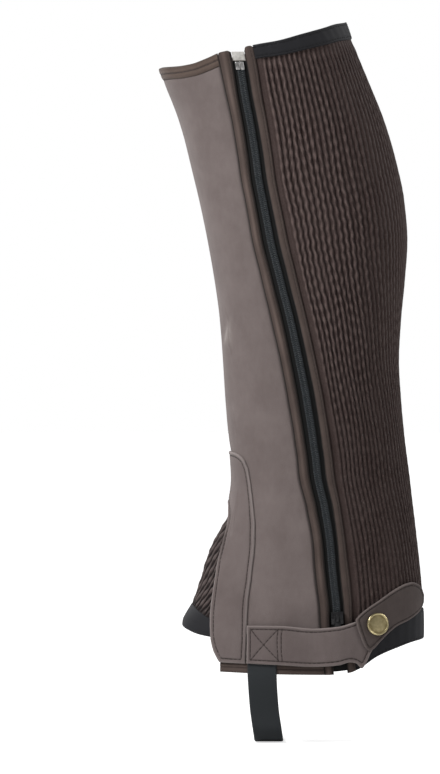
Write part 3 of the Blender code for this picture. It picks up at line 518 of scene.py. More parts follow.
def add_face(bm, points, flat, tones, turned=False):
    """One face of a sheet: a grid whose points are moved onto the garment."""
    rows, columns = points.shape[:2]
    layers = {name: bm.verts.layers.float.get(name) or bm.verts.layers.float.new(name) for name in tones}
    uv = bm.loops.layers.uv.verify()
    made = bmesh.ops.create_grid(bm, x_segments=columns - 1, y_segments=rows - 1, size=0.5)
    faces, spots = set(), {}
    for vert in made["verts"]:
        j = round((vert.co.x + 0.5) * (columns - 1))
        i = round((vert.co.y + 0.5) * (rows - 1))
        spots[vert] = flat[i, j]
        vert.co = points[i, j]
        for name, values in tones.items():
            vert[layers[name]] = values[i, j]
        faces.update(vert.link_faces)
    for face in faces:
        for loop in face.loops:
            loop[uv].uv = spots[loop.vert]
    if turned:
        bmesh.ops.reverse_faces(bm, faces=list(faces))


def two_faced(outer, inner):
    """A sheet closed all round its rim, from the points, flat coordinates and tones of both faces."""
    bm = bmesh.new()
    add_face(bm, *outer)
    add_face(bm, *inner, turned=True)
    bmesh.ops.bridge_loops(bm, edges=[e for e in bm.edges if e.is_boundary])
    return bm


CUTS = {}                   # width, length and area of each sheet's flat coordinates


def note_cut(piece, flat):
    across = min(np.ptp(flat[..., 0]), np.linalg.norm(np.diff(flat, axis=1), axis=2).sum(axis=1).max())
    up = min(np.ptp(flat[..., 1]), np.linalg.norm(np.diff(flat, axis=0), axis=2).sum(axis=0).max())
    a, b = flat[1:, 1:] - flat[:-1, :-1], flat[1:, :-1] - flat[:-1, 1:]
    area = np.abs(a[..., 0] * b[..., 1] - a[..., 1] * b[..., 0]).sum() / 2
    CUTS[piece.name] = float(across), float(up), float(area)


def cloth(name, slot, node, where, outside, inside, material, coarse=1, pulled=False, plain_inside=None,
          **tones):
    """A sheet of cloth between two lifts over a grid; its inner face has one point in so many."""
    height, girth = where
    if pulled:
        outside, inside = outside + drawn_in(height, girth), inside + drawn_in(height, girth)
    pick = np.ix_(*[np.unique(np.append(np.arange(0, count, coarse), count - 1)) for count in height.shape])
    inside = np.broadcast_to(inside, height.shape)[pick]
    tones = {key: np.broadcast_to(value, height.shape) for key, value in tones.items()}
    within = {key: value[pick] if plain_inside is None else np.full(inside.shape, plain_inside)
              for key, value in tones.items()}
    flat = chart(height, girth) * MM
    piece = piece_from(two_faced((on_form(height, girth, outside) * MM, flat, tones),
                                 (on_form(height[pick], girth[pick], inside) * MM, flat[pick], within)),
                       name, material)
    note_cut(piece, flat)
    return dress(piece, node)


def declare(piece, fullness=1, folds=1, whole_width=0):
    """Works out the sheet's real cut: its size as it lies, how much is gathered into it and how often it
    folds; nothing keeps the result.
    """
    across, up, area = CUTS[piece.name]
    width, length = max(across * fullness, whole_width), up * folds
    area = min(max(area * fullness * folds, 0.31 * width * length), width * length)


# Rings of a thread or a tooth: how far along, how thick and how low.
CAPSULE_RINGS = ((-0.5, 0.45, -0.55), (-0.3, 0.95, -0.05), (0, 1, 0), (0.3, 0.95, -0.05), (0.5, 0.45, -0.55))
CAPSULE_SIDES = 6


def capsule(length, width, height):
    """Points and faces of a short thread or tooth along X, its ends drawn in and let down."""
    turns = [2 * math.pi * (k + 0.5) / CAPSULE_SIDES for k in range(CAPSULE_SIDES)]
    points = [(along * length, thick * width / 2 * math.cos(turn),
               height * (drop + thick * math.sin(turn)) / 2)
              for along, thick, drop in CAPSULE_RINGS for turn in turns]
    first = [(k, (k + 1) % CAPSULE_SIDES) for k in range(CAPSULE_SIDES)]
    last = len(points) - CAPSULE_SIDES
    faces = [(low + k, low + n, low + CAPSULE_SIDES + n, low + CAPSULE_SIDES + k)
             for low in range(0, last, CAPSULE_SIDES) for k, n in first]
    return np.array(points), faces + [tuple(range(CAPSULE_SIDES))[::-1], tuple(range(last, len(points)))]


def scattered(name, node, shape, stands, material):
    """One joined mesh of a small shape at many places; each stand has places, ways and outward ways."""
    points, faces = shape
    places, along, outward = [np.concatenate(part) for part in zip(*stands)]
    along = along - outward * (along * outward).sum(axis=1, keepdims=True)
    along /= np.linalg.norm(along, axis=1, keepdims=True)
    across = np.cross(outward, along)
    spread = (places[:, None] + points[None, :, 0, None] * along[:, None]
              + points[None, :, 1, None] * across[:, None] + points[None, :, 2, None] * outward[:, None])
    joined = [tuple(first + corner for corner in face)
              for first in range(0, len(places) * len(points), len(points)) for face in faces]
    mesh = bpy.data.meshes.new(name)
    mesh.from_pydata((spread.reshape(-1, 3) * MM).tolist(), [], joined)
    return dress(new_piece(name, mesh, material, 60), node)


STITCH = capsule(2.5, 0.62, 0.5)
STITCH_PITCH = 3.1


def stitched(name, rows, material=None):
    """Rows of stitches; each row has flat coordinates, a function for its lift, and is closed or not."""
    stands = []
    for flat, lift, closed in rows:
        where = from_chart(resampled(flat, STITCH_PITCH, closed))
        place, outward = form_at(*where)
        place = place + outward * lift(*where)[:, None]
        round_trip = np.roll(place, -1, axis=0) - np.roll(place, 1, axis=0)
        stands.append((place, round_trip if closed else np.gradient(place, axis=0), outward))
    return scattered(name, None, STITCH, stands, material or THREAD_BROWN)


def lifted(lift):
    return lambda height, girth: np.full(height.shape, lift)


def round_row(line, start, end, count=160):
    """An edge's flat coordinates between two girths."""
    girth = np.linspace(start, end, count)
    return chart(line(girth), girth)


def softened(name, node, width, material):
    """A copy of a node's solid, its doubles merged and its edges rounded."""
    bm = bmesh.new()
    bm.from_mesh(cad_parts[node].data)
    bmesh.ops.remove_doubles(bm, verts=bm.verts, dist=1e-6)
    bmesh.ops.dissolve_limit(bm, angle_limit=math.radians(1.5), verts=bm.verts, edges=bm.edges)
    sharp = [e for e in bm.edges if len(e.link_faces) == 2 and e.calc_face_angle() > math.radians(30)]
    bmesh.ops.bevel(bm, geom=sharp, offset=width * MM, affect="EDGES", segments=3, profile=0.5, material=-1,
                    clamp_overlap=True)
    return dress(piece_from(bm, name, material, 35), node)


# ------------------------------------------------------------------ materials
class Nodes:
    """Short ways to add nodes to a material, a group or the world."""

    def __init__(self, tree):
        self.tree = tree

    def fill(self, socket, value):
        """Link or set one socket; a colour is given by its three parts."""
        if isinstance(value, bpy.types.NodeSocket):
            self.tree.links.new(value, socket)
        else:
            socket.default_value = (*value, 1) if socket.type == "RGBA" else value

    def fill_all(self, sockets, values):
        for name, value in values.items():
            self.fill(sockets[name], value)

    def add(self, kind, values=None, **settings):
        made = self.tree.nodes.new(kind)
        for name, value in settings.items():
            setattr(made, name, value)
        self.fill_all(made.inputs, values or {})
        return made.outputs

    def maths(self, operation, *values):
        return self.add("ShaderNodeMath", dict(enumerate(values)), operation=operation)[0]

    def plus(self, first, second):
        return self.maths("ADD", first, second)

    def times(self, first, second):
        return self.maths("MULTIPLY", first, second)

    def spread(self, value, low, high, start=0, end=1, smooth=False):
        kind = "SMOOTHSTEP" if smooth else "LINEAR"
        values = {"Value": value, "From Min": low, "From Max": high, "To Min": start, "To Max": end}
        return self.add("ShaderNodeMapRange", values, interpolation_type=kind)["Result"]

    def blend(self, share, first, second):
        return self.add("ShaderNodeMix", {0: share, 6: first, 7: second}, data_type="RGBA")[2]

    def noise(self, place, scale, detail=2, roughness=0.5):
        return self.add("ShaderNodeTexNoise", {"Vector": place, "Scale": scale, "Detail": detail,
                                               "Roughness": roughness})[0]

    def place(self):
        return self.add("ShaderNodeTexCoord")["Object"]

    def tone(self, name):
        return self.add("ShaderNodeAttribute", attribute_name=name)["Fac"]

    def seen(self):
        """1 for the camera's own rays, else 0; only the floor and the world use it."""
        return self.add("ShaderNodeLightPath")["Is Camera Ray"]


class Paint(Nodes):
    """A material under way."""

    def __init__(self, name, sheen=0, specular=0.5):
        self.material = bpy.data.materials.new(name)
        self.material.use_nodes = True
        super().__init__(self.material.node_tree)
        self.shade({"Sheen Weight": sheen, "Specular IOR Level": specular})

    def shade(self, values):
        self.fill_all(self.tree.nodes["Principled BSDF"].inputs, values)

    def done(self, color, roughness, height, relief):
        """The finished material; relief is the depth of its height map in millimetres."""
        bump = self.add("ShaderNodeBump", {"Height": height, "Distance": relief * MM, "Strength": 1})
        self.shade({"Base Color": color, "Roughness": roughness, "Normal": bump["Normal"]})
        return self.material

    def nap(self, dark, light, blotch, grain):
        return self.add("ShaderNodeGroup", {"Place": self.place(), "Dark": dark, "Light": light,
                                            "Blotch": blotch, "Grain": grain}, node_tree=NAP)

    def weave(self, around, up):
        flat = self.add("ShaderNodeUVMap", uv_map="UVMap")[0]
        return self.add("ShaderNodeGroup", {"Flat": flat, "Around": around, "Up": up}, node_tree=WEAVE)


def group(name, inputs, outputs):
    """An empty group of nodes; inputs and outputs have the kind of each socket by its name."""
    tree = bpy.data.node_groups.new(name, "ShaderNodeTree")
    for direction, sockets in (("INPUT", inputs), ("OUTPUT", outputs)):
        for socket_name, kind in sockets.items():
            tree.interface.new_socket(name=socket_name, in_out=direction, socket_type="NodeSocket" + kind)
    return Nodes(tree), tree.nodes.new("NodeGroupInput").outputs, tree.nodes.new("NodeGroupOutput").inputs


def make_nap_group():
    """Brushed nap of suede and leather: blotches, short brush marks and fine grain."""
    nodes, given, result = group(
        "nap", {"Place": "Vector", "Dark": "Color", "Light": "Color", "Blotch": "Float", "Grain": "Float"},
        {"Color": "Color", "Roughness": "Float", "Height": "Float"})
    blotch = nodes.noise(given["Place"], given["Blotch"], 3, 0.6)
    lain = nodes.add("ShaderNodeMapping", {"Vector": given["Place"], "Scale": (1, 1, 0.4)})[0]
    brush = nodes.noise(lain, nodes.times(given["Blotch"], 9))
    grain = nodes.noise(given["Place"], given["Grain"], 2, 0.6)
    fine = nodes.plus(nodes.times(brush, 0.14), nodes.times(grain, 0.28))
    share = nodes.spread(nodes.plus(nodes.times(blotch, 0.58), fine), 0.3, 0.7, smooth=True)
    nodes.fill_all(result, {"Color": nodes.blend(share, given["Dark"], given["Light"]),
                            "Roughness": nodes.spread(grain, 0.3, 0.7, 0.82, 0.98),
                            "Height": nodes.plus(nodes.times(grain, 0.7), nodes.times(brush, 0.3))})
    return nodes.tree


def make_weave_group():
    """Crossing threads over the cloth's own flat coordinates, with a little unevenness."""
    nodes, given, result = group("weave", {"Flat": "Vector", "Around": "Float", "Up": "Float"},
                                 {"Height": "Float", "Shade": "Float"})
    parts = nodes.add("ShaderNodeSeparateXYZ", {"Vector": given["Flat"]})
    around, up = [nodes.maths("SINE", nodes.times(nodes.times(parts[k], given[count]), 2 * math.pi))
                  for k, count in enumerate(("Around", "Up"))]
    height = nodes.plus(nodes.times(nodes.times(around, up), 0.35), nodes.times(up, 0.25))
    shade = nodes.plus(nodes.times(height, 0.35), nodes.noise(given["Flat"], 260))
    nodes.fill_all(result, {"Height": nodes.spread(height, -0.6, 0.6),
                            "Shade": nodes.spread(shade, 0.2, 0.8)})
    return nodes.tree


NAP = make_nap_group()
WEAVE = make_weave_group()


def scaled(color, share):
    return tuple(part * share for part in color)


def nap_material(name, dark, light, pale=None, blotch=38, grain=1500, sheen=0.12, relief=0.22, specular=0.25):
    """Suede or leather; pale colours its cut and rubbed edges, partly as a painted highlight, and a painted
    highlight at a crease; the groove tone paints shade.
    """
    paint = Paint(name, sheen, specular)
    nap = paint.nap(dark, light, blotch, grain)
    color = nap["Color"]
    if pale:
        # Painted highlight where the rim tone is low; on cut edges this is also their own paler colour.
        color = paint.blend(paint.spread(paint.tone("rim"), 0.2, 1.7, 0.75, 0, smooth=True), color, pale)
        # Painted shade in stitch grooves and along seams.
        sunk = paint.spread(paint.tone("groove"), 0.15, 1, 0, 0.72, smooth=True)
        color = paint.blend(sunk, color, scaled(dark, 0.38))
    return paint.done(color, nap["Roughness"], nap["Height"], relief)


def binding_material(name, dark, light):
    """Folded binding: a painted highlight along its crown, painted shade where it is sewn down."""
    paint = Paint(name, 0.1, 0.3)
    nap, crown = paint.nap(dark, light, 70, 1300), paint.tone("crown")
    # Painted highlight where the crown tone is high, painted shade where it is low.
    color = paint.blend(paint.spread(crown, 0.45, 1, smooth=True), nap["Color"], scaled(light, 1.75))
    color = paint.blend(paint.spread(crown, 0, 0.42, 0.95, 0, smooth=True), color, scaled(dark, 0.22))
    return paint.done(color, nap["Roughness"], nap["Height"], 0.2)


def ribbed_material(name, valley, crest):
    """Smocked stretch cloth with painted shade in its folds and a painted highlight along its crests, finely
    knitted.
    """
    paint = Paint(name, 0.1, 0.2)
    place = paint.place()
    patchy, fine = paint.noise(place, 60, 3), paint.noise(place, 1100)
    height = paint.plus(paint.tone("crest"), paint.times(paint.maths("SUBTRACT", fine, 0.5), 0.5))
    # The crest tone paints the light: valley colour for painted shade, crest colour for painted highlight.
    color = paint.blend(paint.spread(height, 0.1, 0.95, smooth=True), valley, crest)
    color = paint.blend(paint.spread(patchy, 0.3, 0.7, 0, 0.35), color, scaled(crest, 0.55))
    relief = paint.plus(paint.weave(1500, 1100)["Height"], paint.times(fine, 0.8))
    return paint.done(color, 0.88, relief, 0.14)


def woven_material(name, dark, light, around, up, relief, specular=0.35):
    """Elastic or tape woven with a set number of threads each metre, round and up."""
    paint = Paint(name, 0.05, specular)
    weave = paint.weave(around, up)
    return paint.done(paint.blend(weave["Shade"], dark, light), 0.75, weave["Height"], relief)


def hard_material(name, dark, light, roughness, metallic, scale=500, relief=0.03, coat=0):
    """Metal or plastic, a little uneven in tone and gloss."""
    paint = Paint(name)
    tarnish = paint.noise(paint.place(), scale, 4)
    paint.shade({"Metallic": metallic, "Coat Weight": coat})
    gloss = paint.spread(tarnish, 0.3, 0.7, roughness * 0.8, roughness * 1.3)
    return paint.done(paint.blend(paint.spread(tarnish, 0.35, 0.65), dark, light), gloss, tarnish, relief)


def film_material():
    """Milky film pressed over the tapes' ends."""
    paint = Paint("zip_film_milky")
    cloudy = paint.noise(paint.place(), 420, 3)
    paint.shade({"Alpha": paint.spread(cloudy, 0.3, 0.7, 0.6, 0.85)})
    return paint.done(paint.blend(cloudy, (0.50, 0.48, 0.45), (0.74, 0.72, 0.68)), 0.3, cloudy, 0.05)


def brass_material():
    """Antique brass: bright where it is rubbed, brown-green in its ring."""
    paint = Paint("snap_antique_brass")
    tarnish = paint.noise(paint.place(), 380, 5)
    worn = paint.plus(paint.tone("rubbed"), paint.times(paint.maths("SUBTRACT", tarnish, 0.5), 0.7))
    share = paint.spread(worn, 0.1, 0.9, smooth=True)
    paint.shade({"Metallic": 1})
    return paint.done(paint.blend(share, (0.21, 0.165, 0.075), (0.66, 0.56, 0.32)),
                      paint.spread(share, 0, 1, 0.5, 0.27), tarnish, 0.03)


# The pale colours paint highlights: on the wrap only at its crease, on the overlay, strap and tab along their
# cut edges, which are also paler in fact.
SUEDE_CLOTH = nap_material("suede_taupe", (0.150, 0.120, 0.114), (0.195, 0.160, 0.153), (0.300, 0.262, 0.246))
OVERLAY = nap_material("suede_overlay_taupe", (0.142, 0.113, 0.108), (0.182, 0.149, 0.143),
                       (0.29, 0.25, 0.24))
STRAP_SUEDE = nap_material("strap_taupe", (0.128, 0.101, 0.097), (0.165, 0.134, 0.129), (0.26, 0.22, 0.21))
TAB_LEATHER = nap_material("tab_brown_leather", (0.068, 0.052, 0.048), (0.094, 0.073, 0.068),
                           (0.155, 0.125, 0.118), blotch=60, grain=900, sheen=0.05, relief=0.16, specular=0.4)
BINDING = binding_material("binding_brown", (0.060, 0.042, 0.036), (0.085, 0.062, 0.054))
TOP_BINDING = binding_material("binding_top_brown", (0.078, 0.054, 0.044), (0.108, 0.078, 0.064))
# Valley colours are painted shade, crest colours painted highlight.
RIBBED = ribbed_material("stretch_smocked", (0.029, 0.017, 0.015), (0.148, 0.106, 0.098))
GUSSET_RIBBED = ribbed_material("instep_smocked", (0.008, 0.005, 0.005), (0.112, 0.086, 0.081))
ELASTIC = woven_material("band_black_woven", (0.006, 0.006, 0.008), (0.017, 0.017, 0.021), 700, 1100, 0.16)
FOOT_ELASTIC = woven_material("foot_elastic_woven", (0.012, 0.014, 0.016), (0.030, 0.035, 0.039), 900, 620,
                              0.20)
# The tapes are black, and their near-black colour also paints the shade beside the coil.
TAPE = woven_material("zip_tape_woven", (0.003, 0.003, 0.003), (0.009, 0.009, 0.009), 900, 1300, 0.12, 0.2)
COIL = hard_material("zip_coil_nylon", (0.022, 0.027, 0.031), (0.034, 0.040, 0.045), 0.5, 0)
STEEL = hard_material("zip_end_bright", (0.62, 0.61, 0.60), (0.80, 0.79, 0.78), 0.3, 1, 90, 0.005)
LACQUER = hard_material("slider_lacquer", (0.010, 0.010, 0.011), (0.024, 0.024, 0.026), 0.3, 0.35, coat=0.3)
FILM = film_material()
BRASS = brass_material()
THREAD_BROWN = nap_material("thread_brown", (0.030, 0.022, 0.020), (0.060, 0.046, 0.042), blotch=400,
                            grain=4000, relief=0.05)
THREAD_BLACK = nap_material("thread_black", (0.007, 0.007, 0.008), (0.017, 0.017, 0.019), blotch=400,
                            grain=4000, relief=0.05)


# ------------------------------------------------------------------ the suede wrap
def make_wrap():
    left, right = between(inner_seam, wrap_seam)
    height, girth = where = grid_between(
        left, right, raised(wrap_bottom, HALF_GAP), raised(rim, -TOP_BINDING_HEIGHT - SEAM_GAP),
        stations((0, 0.3, 0.8, 1.6, 3), 190), stations((0, 0.3, 0.8, 1.6), 230))
    border = away_from(on_form(*where), outline_of(*where), 0.8)
    beside_zip = (wrap_seam(height) - girth) * half_girth(height)
    lift = creased(*where) - 0.5 * (1 - rolled(border, 1.4)) - 0.4 * dip(beside_zip, 1.5)
    # The pinch mask, carried in the rim tone, paints a highlight as a pale streak along the first crease.
    along, across = by_crease(CREASES[0], *where)
    pinch = dip(along, 10) * np.maximum(dip(across + 1.6, 3.4), 0.62 * dip(across, 7.5))
    # The groove tone paints shade along the wrap's cut edges and beside the zip seam.
    piece = cloth("front_panel_suede", "suede", "front_panel", where, lift, -SUEDE, SUEDE_CLOTH, coarse=2,
                  pulled=True, rim=np.where(pinch > 0.02, 1.72 - 1.6 * pinch, 9),
                  groove=np.maximum(dip(border, 0.5), 0.85 * dip(beside_zip, 1.5)))
    declare(piece)


def make_patch():
    """The second layer over the lower shin, its edge rolled and stitched all round."""
    where = grid_between(lambda height: -patch_side(height), patch_side, raised(wrap_bottom, HALF_GAP),
                         lambda girth: patch_top_line(fold(girth)), stations(CUT_EDGE, 90),
                         stations(CUT_EDGE, 74))
    base, outline = on_form(*where), outline_of(*where)
    row = inset(outline, STITCH_INSET)
    border, groove = away_from(base, outline, 0.5), dip(away_from(base, row, 0.5), 0.55)
    under = LAYER_GAP + creased(*where)
    lift = under + 0.25 + (PATCH_THICKNESS - 0.25) * rolled(border, 0.9) - 0.5 * groove
    lift += 0.16 * dip(border - 1.3, 0.8)
    # The rim tone paints a pale edge, partly the cut edge's own colour and partly a painted highlight; the
    # groove tone paints shade in the stitch groove.
    piece = cloth("ankle_patch_suede", "suede_overlay", "ankle_patch", where, lift, under, OVERLAY,
                  rim=border, groove=groove)
    thread = stitched("ankle_patch_stitches",
                      [(row, lambda h, g: LAYER_GAP + PATCH_THICKNESS - 0.32 + creased(h, g), True)])
    declare(piece)


def folded_band(node, where, low, high, face, rise, groove_at, material=BINDING):
    """A folded strip with a soft crown and a row of stitches sunk along it."""
    height, girth = where
    low, high = low(girth), high(girth)
    share = np.clip((height - low) / (high - low), 0, 1)
    crown = np.clip(4 * share * (1 - share), 0, 1) ** 0.5
    groove = dip((share - groove_at) * (high - low), 0.55)
    # The crown tone paints a highlight on the crown and shade in the stitch groove.
    lift, tone = face + rise * crown - 0.4 * groove, np.clip(0.2 + 0.45 * crown - 0.5 * groove, 0, 1)
    return cloth(node + "_fold", "binding", node, where, lift, -SUEDE - FOLD_EXTRA, material, coarse=2,
                 crown=tone)


def make_wrap_bindings():
    left, right = between(inner_seam, wrap_seam)
    bottom = raised(rim, -TOP_BINDING_HEIGHT)
    where = grid_between(left, right, bottom, rim, stations(EVEN, 150), stations((0, 0.25, 0.6, 1.1), 12))
    band = folded_band("front_top_binding", where, bottom, rim, -0.1, 0.75, 0.5, TOP_BINDING)
    row = round_row(raised(rim, -TOP_BINDING_HEIGHT / 2), inner_seam(125) + 0.004, wrap_seam(128) - 0.004)
    thread = stitched("front_top_binding_stitches", [(row, lifted(0.3), False)])
    declare(band, folds=TOP_BINDING_FOLDS)
    top = raised(hem, HEM_BINDING_HEIGHT - SEAM_GAP)
    for node, start, end in (
            ("outer_hem_binding", lambda height: np.full(np.shape(height), flap_corner), right),
            ("inner_hem_binding", left, lambda height: np.full(np.shape(height), -flap_corner))):
        where = grid_between(start, end, hem, top, stations((0, 0.3, 0.8), 60), stations((0, 0.25, 0.6), 10))
        band = folded_band(node, where, hem, top, -0.35, 0.4, 0.55)
        declare(band, folds=BINDING_FOLDS)


# ------------------------------------------------------------------ the smocked calf panel
RIB_COLUMNS = 8             # columns of points to a rib
RIB_ROWS = 232
RIB_CREST = -0.05
RIB_VALLEY = -1.8
PLAIN_LIFT = -0.75
RIB_PANEL_INSIDE = -2.6
PLAIN_MARGIN = 5.4          # flat cloth beside the zip before the ribs start
CALF_FULLNESS = 1.25        # how much more cloth the smocking takes up than it shows
VALLEY_TONE = 0.35          # of the plain inner face
WANDERS = np.random.default_rng(7)
WANDER_STEPS = WANDERS.uniform(-0.5, 1.3, RIBS + 2)
BEAD_PHASES = WANDERS.uniform(0, 2 * math.pi, RIBS + 2)
RIB_HEIGHTS = WANDERS.uniform(0.8, 1.0, RIBS + 2)


def rib_wander(rib, height):
    """Sideways stray of each rib: a slow sway and a short ripple that neighbours nearly share."""
    slow = 0.4 * np.sin(2 * math.pi * height / 76 + 0.9 * np.sin(rib * 0.74))
    phase = np.interp(rib, np.arange(len(WANDER_STEPS)), np.cumsum(WANDER_STEPS))
    wave = 8.6 + 1.0 * np.sin(rib * 1.7)
    return slow + 0.38 * np.sin(2 * math.pi * height / wave + phase + 1.1 * np.sin(height / 31 + rib))


def make_calf_panel():
    left, right = between(rib_seam, inner_seam_behind)
    bottom, top = raised(hem, REAR_HEM_BAND_HEIGHT + SEAM_GAP), raised(rear_band_bottom, -SEAM_GAP)
    columns = RIBS * RIB_COLUMNS
    height, girth = grid_between(left, right, bottom, top, stations(EVEN, columns), stations(EVEN, RIB_ROWS))
    rib = np.broadcast_to(np.arange(columns + 1) / RIB_COLUMNS, height.shape)
    from_zip = (girth - left(height)) * half_girth(height)
    from_inner = (right(height) - girth) * half_girth(height)
    ends = np.minimum(eased(height - bottom(girth), 0, 9), eased(top(girth) - height, 0, 9))
    held = eased(from_zip, 1.5, PLAIN_MARGIN + 3) * eased(from_inner, 1, 6)
    girth = girth + rib_wander(rib, height) * held * ends / half_girth(height)
    number = np.minimum(rib.astype(int), RIBS - 1)
    crest = np.sin(math.pi * (rib - number)).clip(0) ** 1.35
    stray = BEAD_PHASES[number] + 1.6 * np.sin(height / 13 + 2.3 * number)
    beads = np.sin(2 * math.pi * height / 7.6 + stray)
    ribbed = eased(from_zip, PLAIN_MARGIN - 2.2, PLAIN_MARGIN + 0.6) * eased(from_inner, 0.5, 3)
    rise = crest * RIB_HEIGHTS[number] * (0.94 + 0.06 * beads)
    calm = np.maximum(eased(fold(girth), 0.62, 0.80), 0.55 * eased(-height, 60, 160))
    sunk = (1 - rise * (0.45 + 0.55 * ends)) * (1 - 0.45 * calm)
    lift = PLAIN_LIFT * (1 - ribbed) + ribbed * (RIB_CREST + (RIB_VALLEY - RIB_CREST) * sunk)
    lift -= 0.35 * (1 - ends) * ribbed + 0.3 * dip(from_zip, 0.9) * (1 - ribbed)
    # The crest tone is painted light: a highlight on each crest, flickering along it, that weakens towards
    # the back and lower down and flattens to a mid tone where calm; the plain margin gets painted shade by
    # the zip seam and lower down.
    low_down = eased(-height, 60, 170)
    tone = rise ** 1.8 * (0.98 + 0.12 * beads - 0.26 * eased(fold(girth), 0.45, 0.75) - 0.27 * low_down)
    margin = (0.26 + 0.16 * eased(from_zip, 0.5, 4.5)) * (1 - 0.3 * low_down)
    tone = ribbed * (tone + 0.72 * calm * (0.36 - tone)) + (1 - ribbed) * margin
    piece = cloth("calf_panel_smocked", "stretch_ribbed", "rear_panel", (height, girth), lift,
                  RIB_PANEL_INSIDE, RIBBED, coarse=6, pulled=True, plain_inside=VALLEY_TONE, crest=tone)
    declare(piece, fullness=CALF_FULLNESS)


def make_calf_bands():
    left, right = between(rib_seam, inner_seam_behind)
    for node, bottom, top, rows, start, end in (
            ("rear_top_band", rear_band_bottom, rim, 12, rib_seam(130) + 0.008,
             inner_seam_behind(140) - 0.008),
            ("rear_hem_band", hem, raised(hem, REAR_HEM_BAND_HEIGHT), 26, rib_seam(-280) + 0.01,
             inner_seam_behind(-280) - 0.01)):
        height, girth = where = grid_between(left, right, bottom, top, stations((0, 0.3, 0.8), 150),
                                             stations((0, 0.15, 0.4, 0.8), rows))
        border = np.minimum(height - bottom(girth), top(girth) - height)
        around = 2 * math.pi * girth * half_girth(height)
        pulled = 0.10 * np.sin(around / 7.4 + height / 5) + 0.08 * np.sin(around / 19 + 1)
        lift = PLAIN_LIFT + 0.8 * rolled(border, 0.8) + pulled * eased(border, 0.3, 3)
        lift -= 0.25 * dip(border - 1.8, 0.5)
        piece = cloth(node + "_elastic", "elastic_band", node, where, lift, -BAND_THICKNESS, ELASTIC,
                      coarse=3)
        thread = stitched(node + "_stitches",
                          [(round_row(line, start, end, 240), lifted(-0.05), False)
                           for line in (raised(bottom, 1.8), raised(top, -1.8))], THREAD_BLACK)
        declare(piece)


# ------------------------------------------------------------------ the instep wedge
GUSSET_PITCH = 4.3          # between its slanting ribs
GUSSET_SLANT = 0.34         # how far a rib runs outwards for each millimetre up
GUSSET_CREST = -2.6
GUSSET_VALLEY = -4.0
GUSSET_INSIDE = -4.9
GUSSET_BULGE = 3
GUSSET_BULGE_REACH = 17
GUSSET_SINK = 1.1
GUSSET_FULLNESS = 1.3


def make_gusset():
    height, girth = where = grid_between(
        upright_at(-GUSSET_HALF_WIDTH), upright_at(GUSSET_HALF_WIDTH), raised(gusset_band_top, SEAM_GAP),
        gusset_top, stations(EVEN, 150), stations(EVEN, 84))
    share = np.linspace(0, 1, len(height))[:, None]
    around = girth * half_girth(height)
    reach = np.clip(1 - (around / GUSSET_BULGE_REACH) ** 2, 0, 1) ** 2
    bulge = GUSSET_BULGE * reach * np.sin(math.pi * share)
    swell = bulge - GUSSET_SINK * np.clip((height - arch_line(girth) + 6) / 8, 0, 1)
    above, aside = height - gusset_band_top(girth), np.abs(around)
    place = (aside - GUSSET_SLANT * above) / GUSSET_PITCH + 0.12 * np.sin(above / 4.1 + aside)
    beads = 1 + 0.14 * np.sin(above / 1.3 + 2.1 * np.floor(place))
    fade = eased(above, 0, 5) * eased(aside, 0.3, 2.5)
    rise = np.abs(np.sin(math.pi * place)) ** 1.1 * beads * (0.55 + 0.45 * fade)
    lift = GUSSET_VALLEY + (GUSSET_CREST - GUSSET_VALLEY) * rise + swell
    # The crest tone paints a highlight on the rib crests and shade in the valleys.
    piece = cloth("instep_gusset_smocked", "stretch_ribbed", "instep_gusset", where, lift,
                  GUSSET_INSIDE + swell, GUSSET_RIBBED, coarse=3, plain_inside=VALLEY_TONE, crest=rise ** 2.2)
    declare(piece, fullness=GUSSET_FULLNESS)
    height, girth = where = grid_between(
        upright_at(-GUSSET_BAND_HALF_WIDTH), upright_at(GUSSET_BAND_HALF_WIDTH), gusset_band_bottom,
        gusset_band_top, stations((0, 0.3), 80), stations((0, 0.15, 0.4, 0.8), 16))
    above = height - gusset_band_bottom(girth)
    border = np.minimum(above, gusset_band_top(girth) - height)
    band = cloth("gusset_hem_band_elastic", "elastic_band", "gusset_hem_band", where,
                 -3.6 + 0.65 * rolled(border, 0.8) - 0.6 * dip(above, 2.4), -4.7, ELASTIC, coarse=2)
    declare(band)


# ------------------------------------------------------------------ the zip
BINDING_EDGE = 0.05
BINDING_CROWN = 0.95
BINDING_CORNER = 2.6        # how far its top rounds off beside the seam and the tape
COIL_PITCH = 1.3
TOOTH = capsule(3.2, 0.86, 0.95)
TOOTH_ASIDE = 1.24          # from the zip's middle to the middle of a tooth
TOOTH_LIFT = 0.36
TOOTH_SLANT = 0.22
CORE_HALF_WIDTH = 2.2
TAPE_WIDTH = 14 * MM        # of each half, most of it sewn in under its binding
TAPE_LIFT = -0.75


def rounded_rim(start, end):
    """The rim let down at both edges of a binding."""
    first, last = float(start(ZIP_TOP_STOP)), float(end(ZIP_TOP_STOP))
    shift = (float(start(131)) - first) / (131 - ZIP_TOP_STOP)

    def line(girth):
        below = girth - shift * (rim(girth) - ZIP_TOP_STOP)
        gap = np.minimum(below - first, last - below) * half_girth(ZIP_TOP_STOP)
        return rim(girth) - BINDING_CORNER * (1 - rolled(np.clip(gap, 0, None), BINDING_CORNER))

    return line


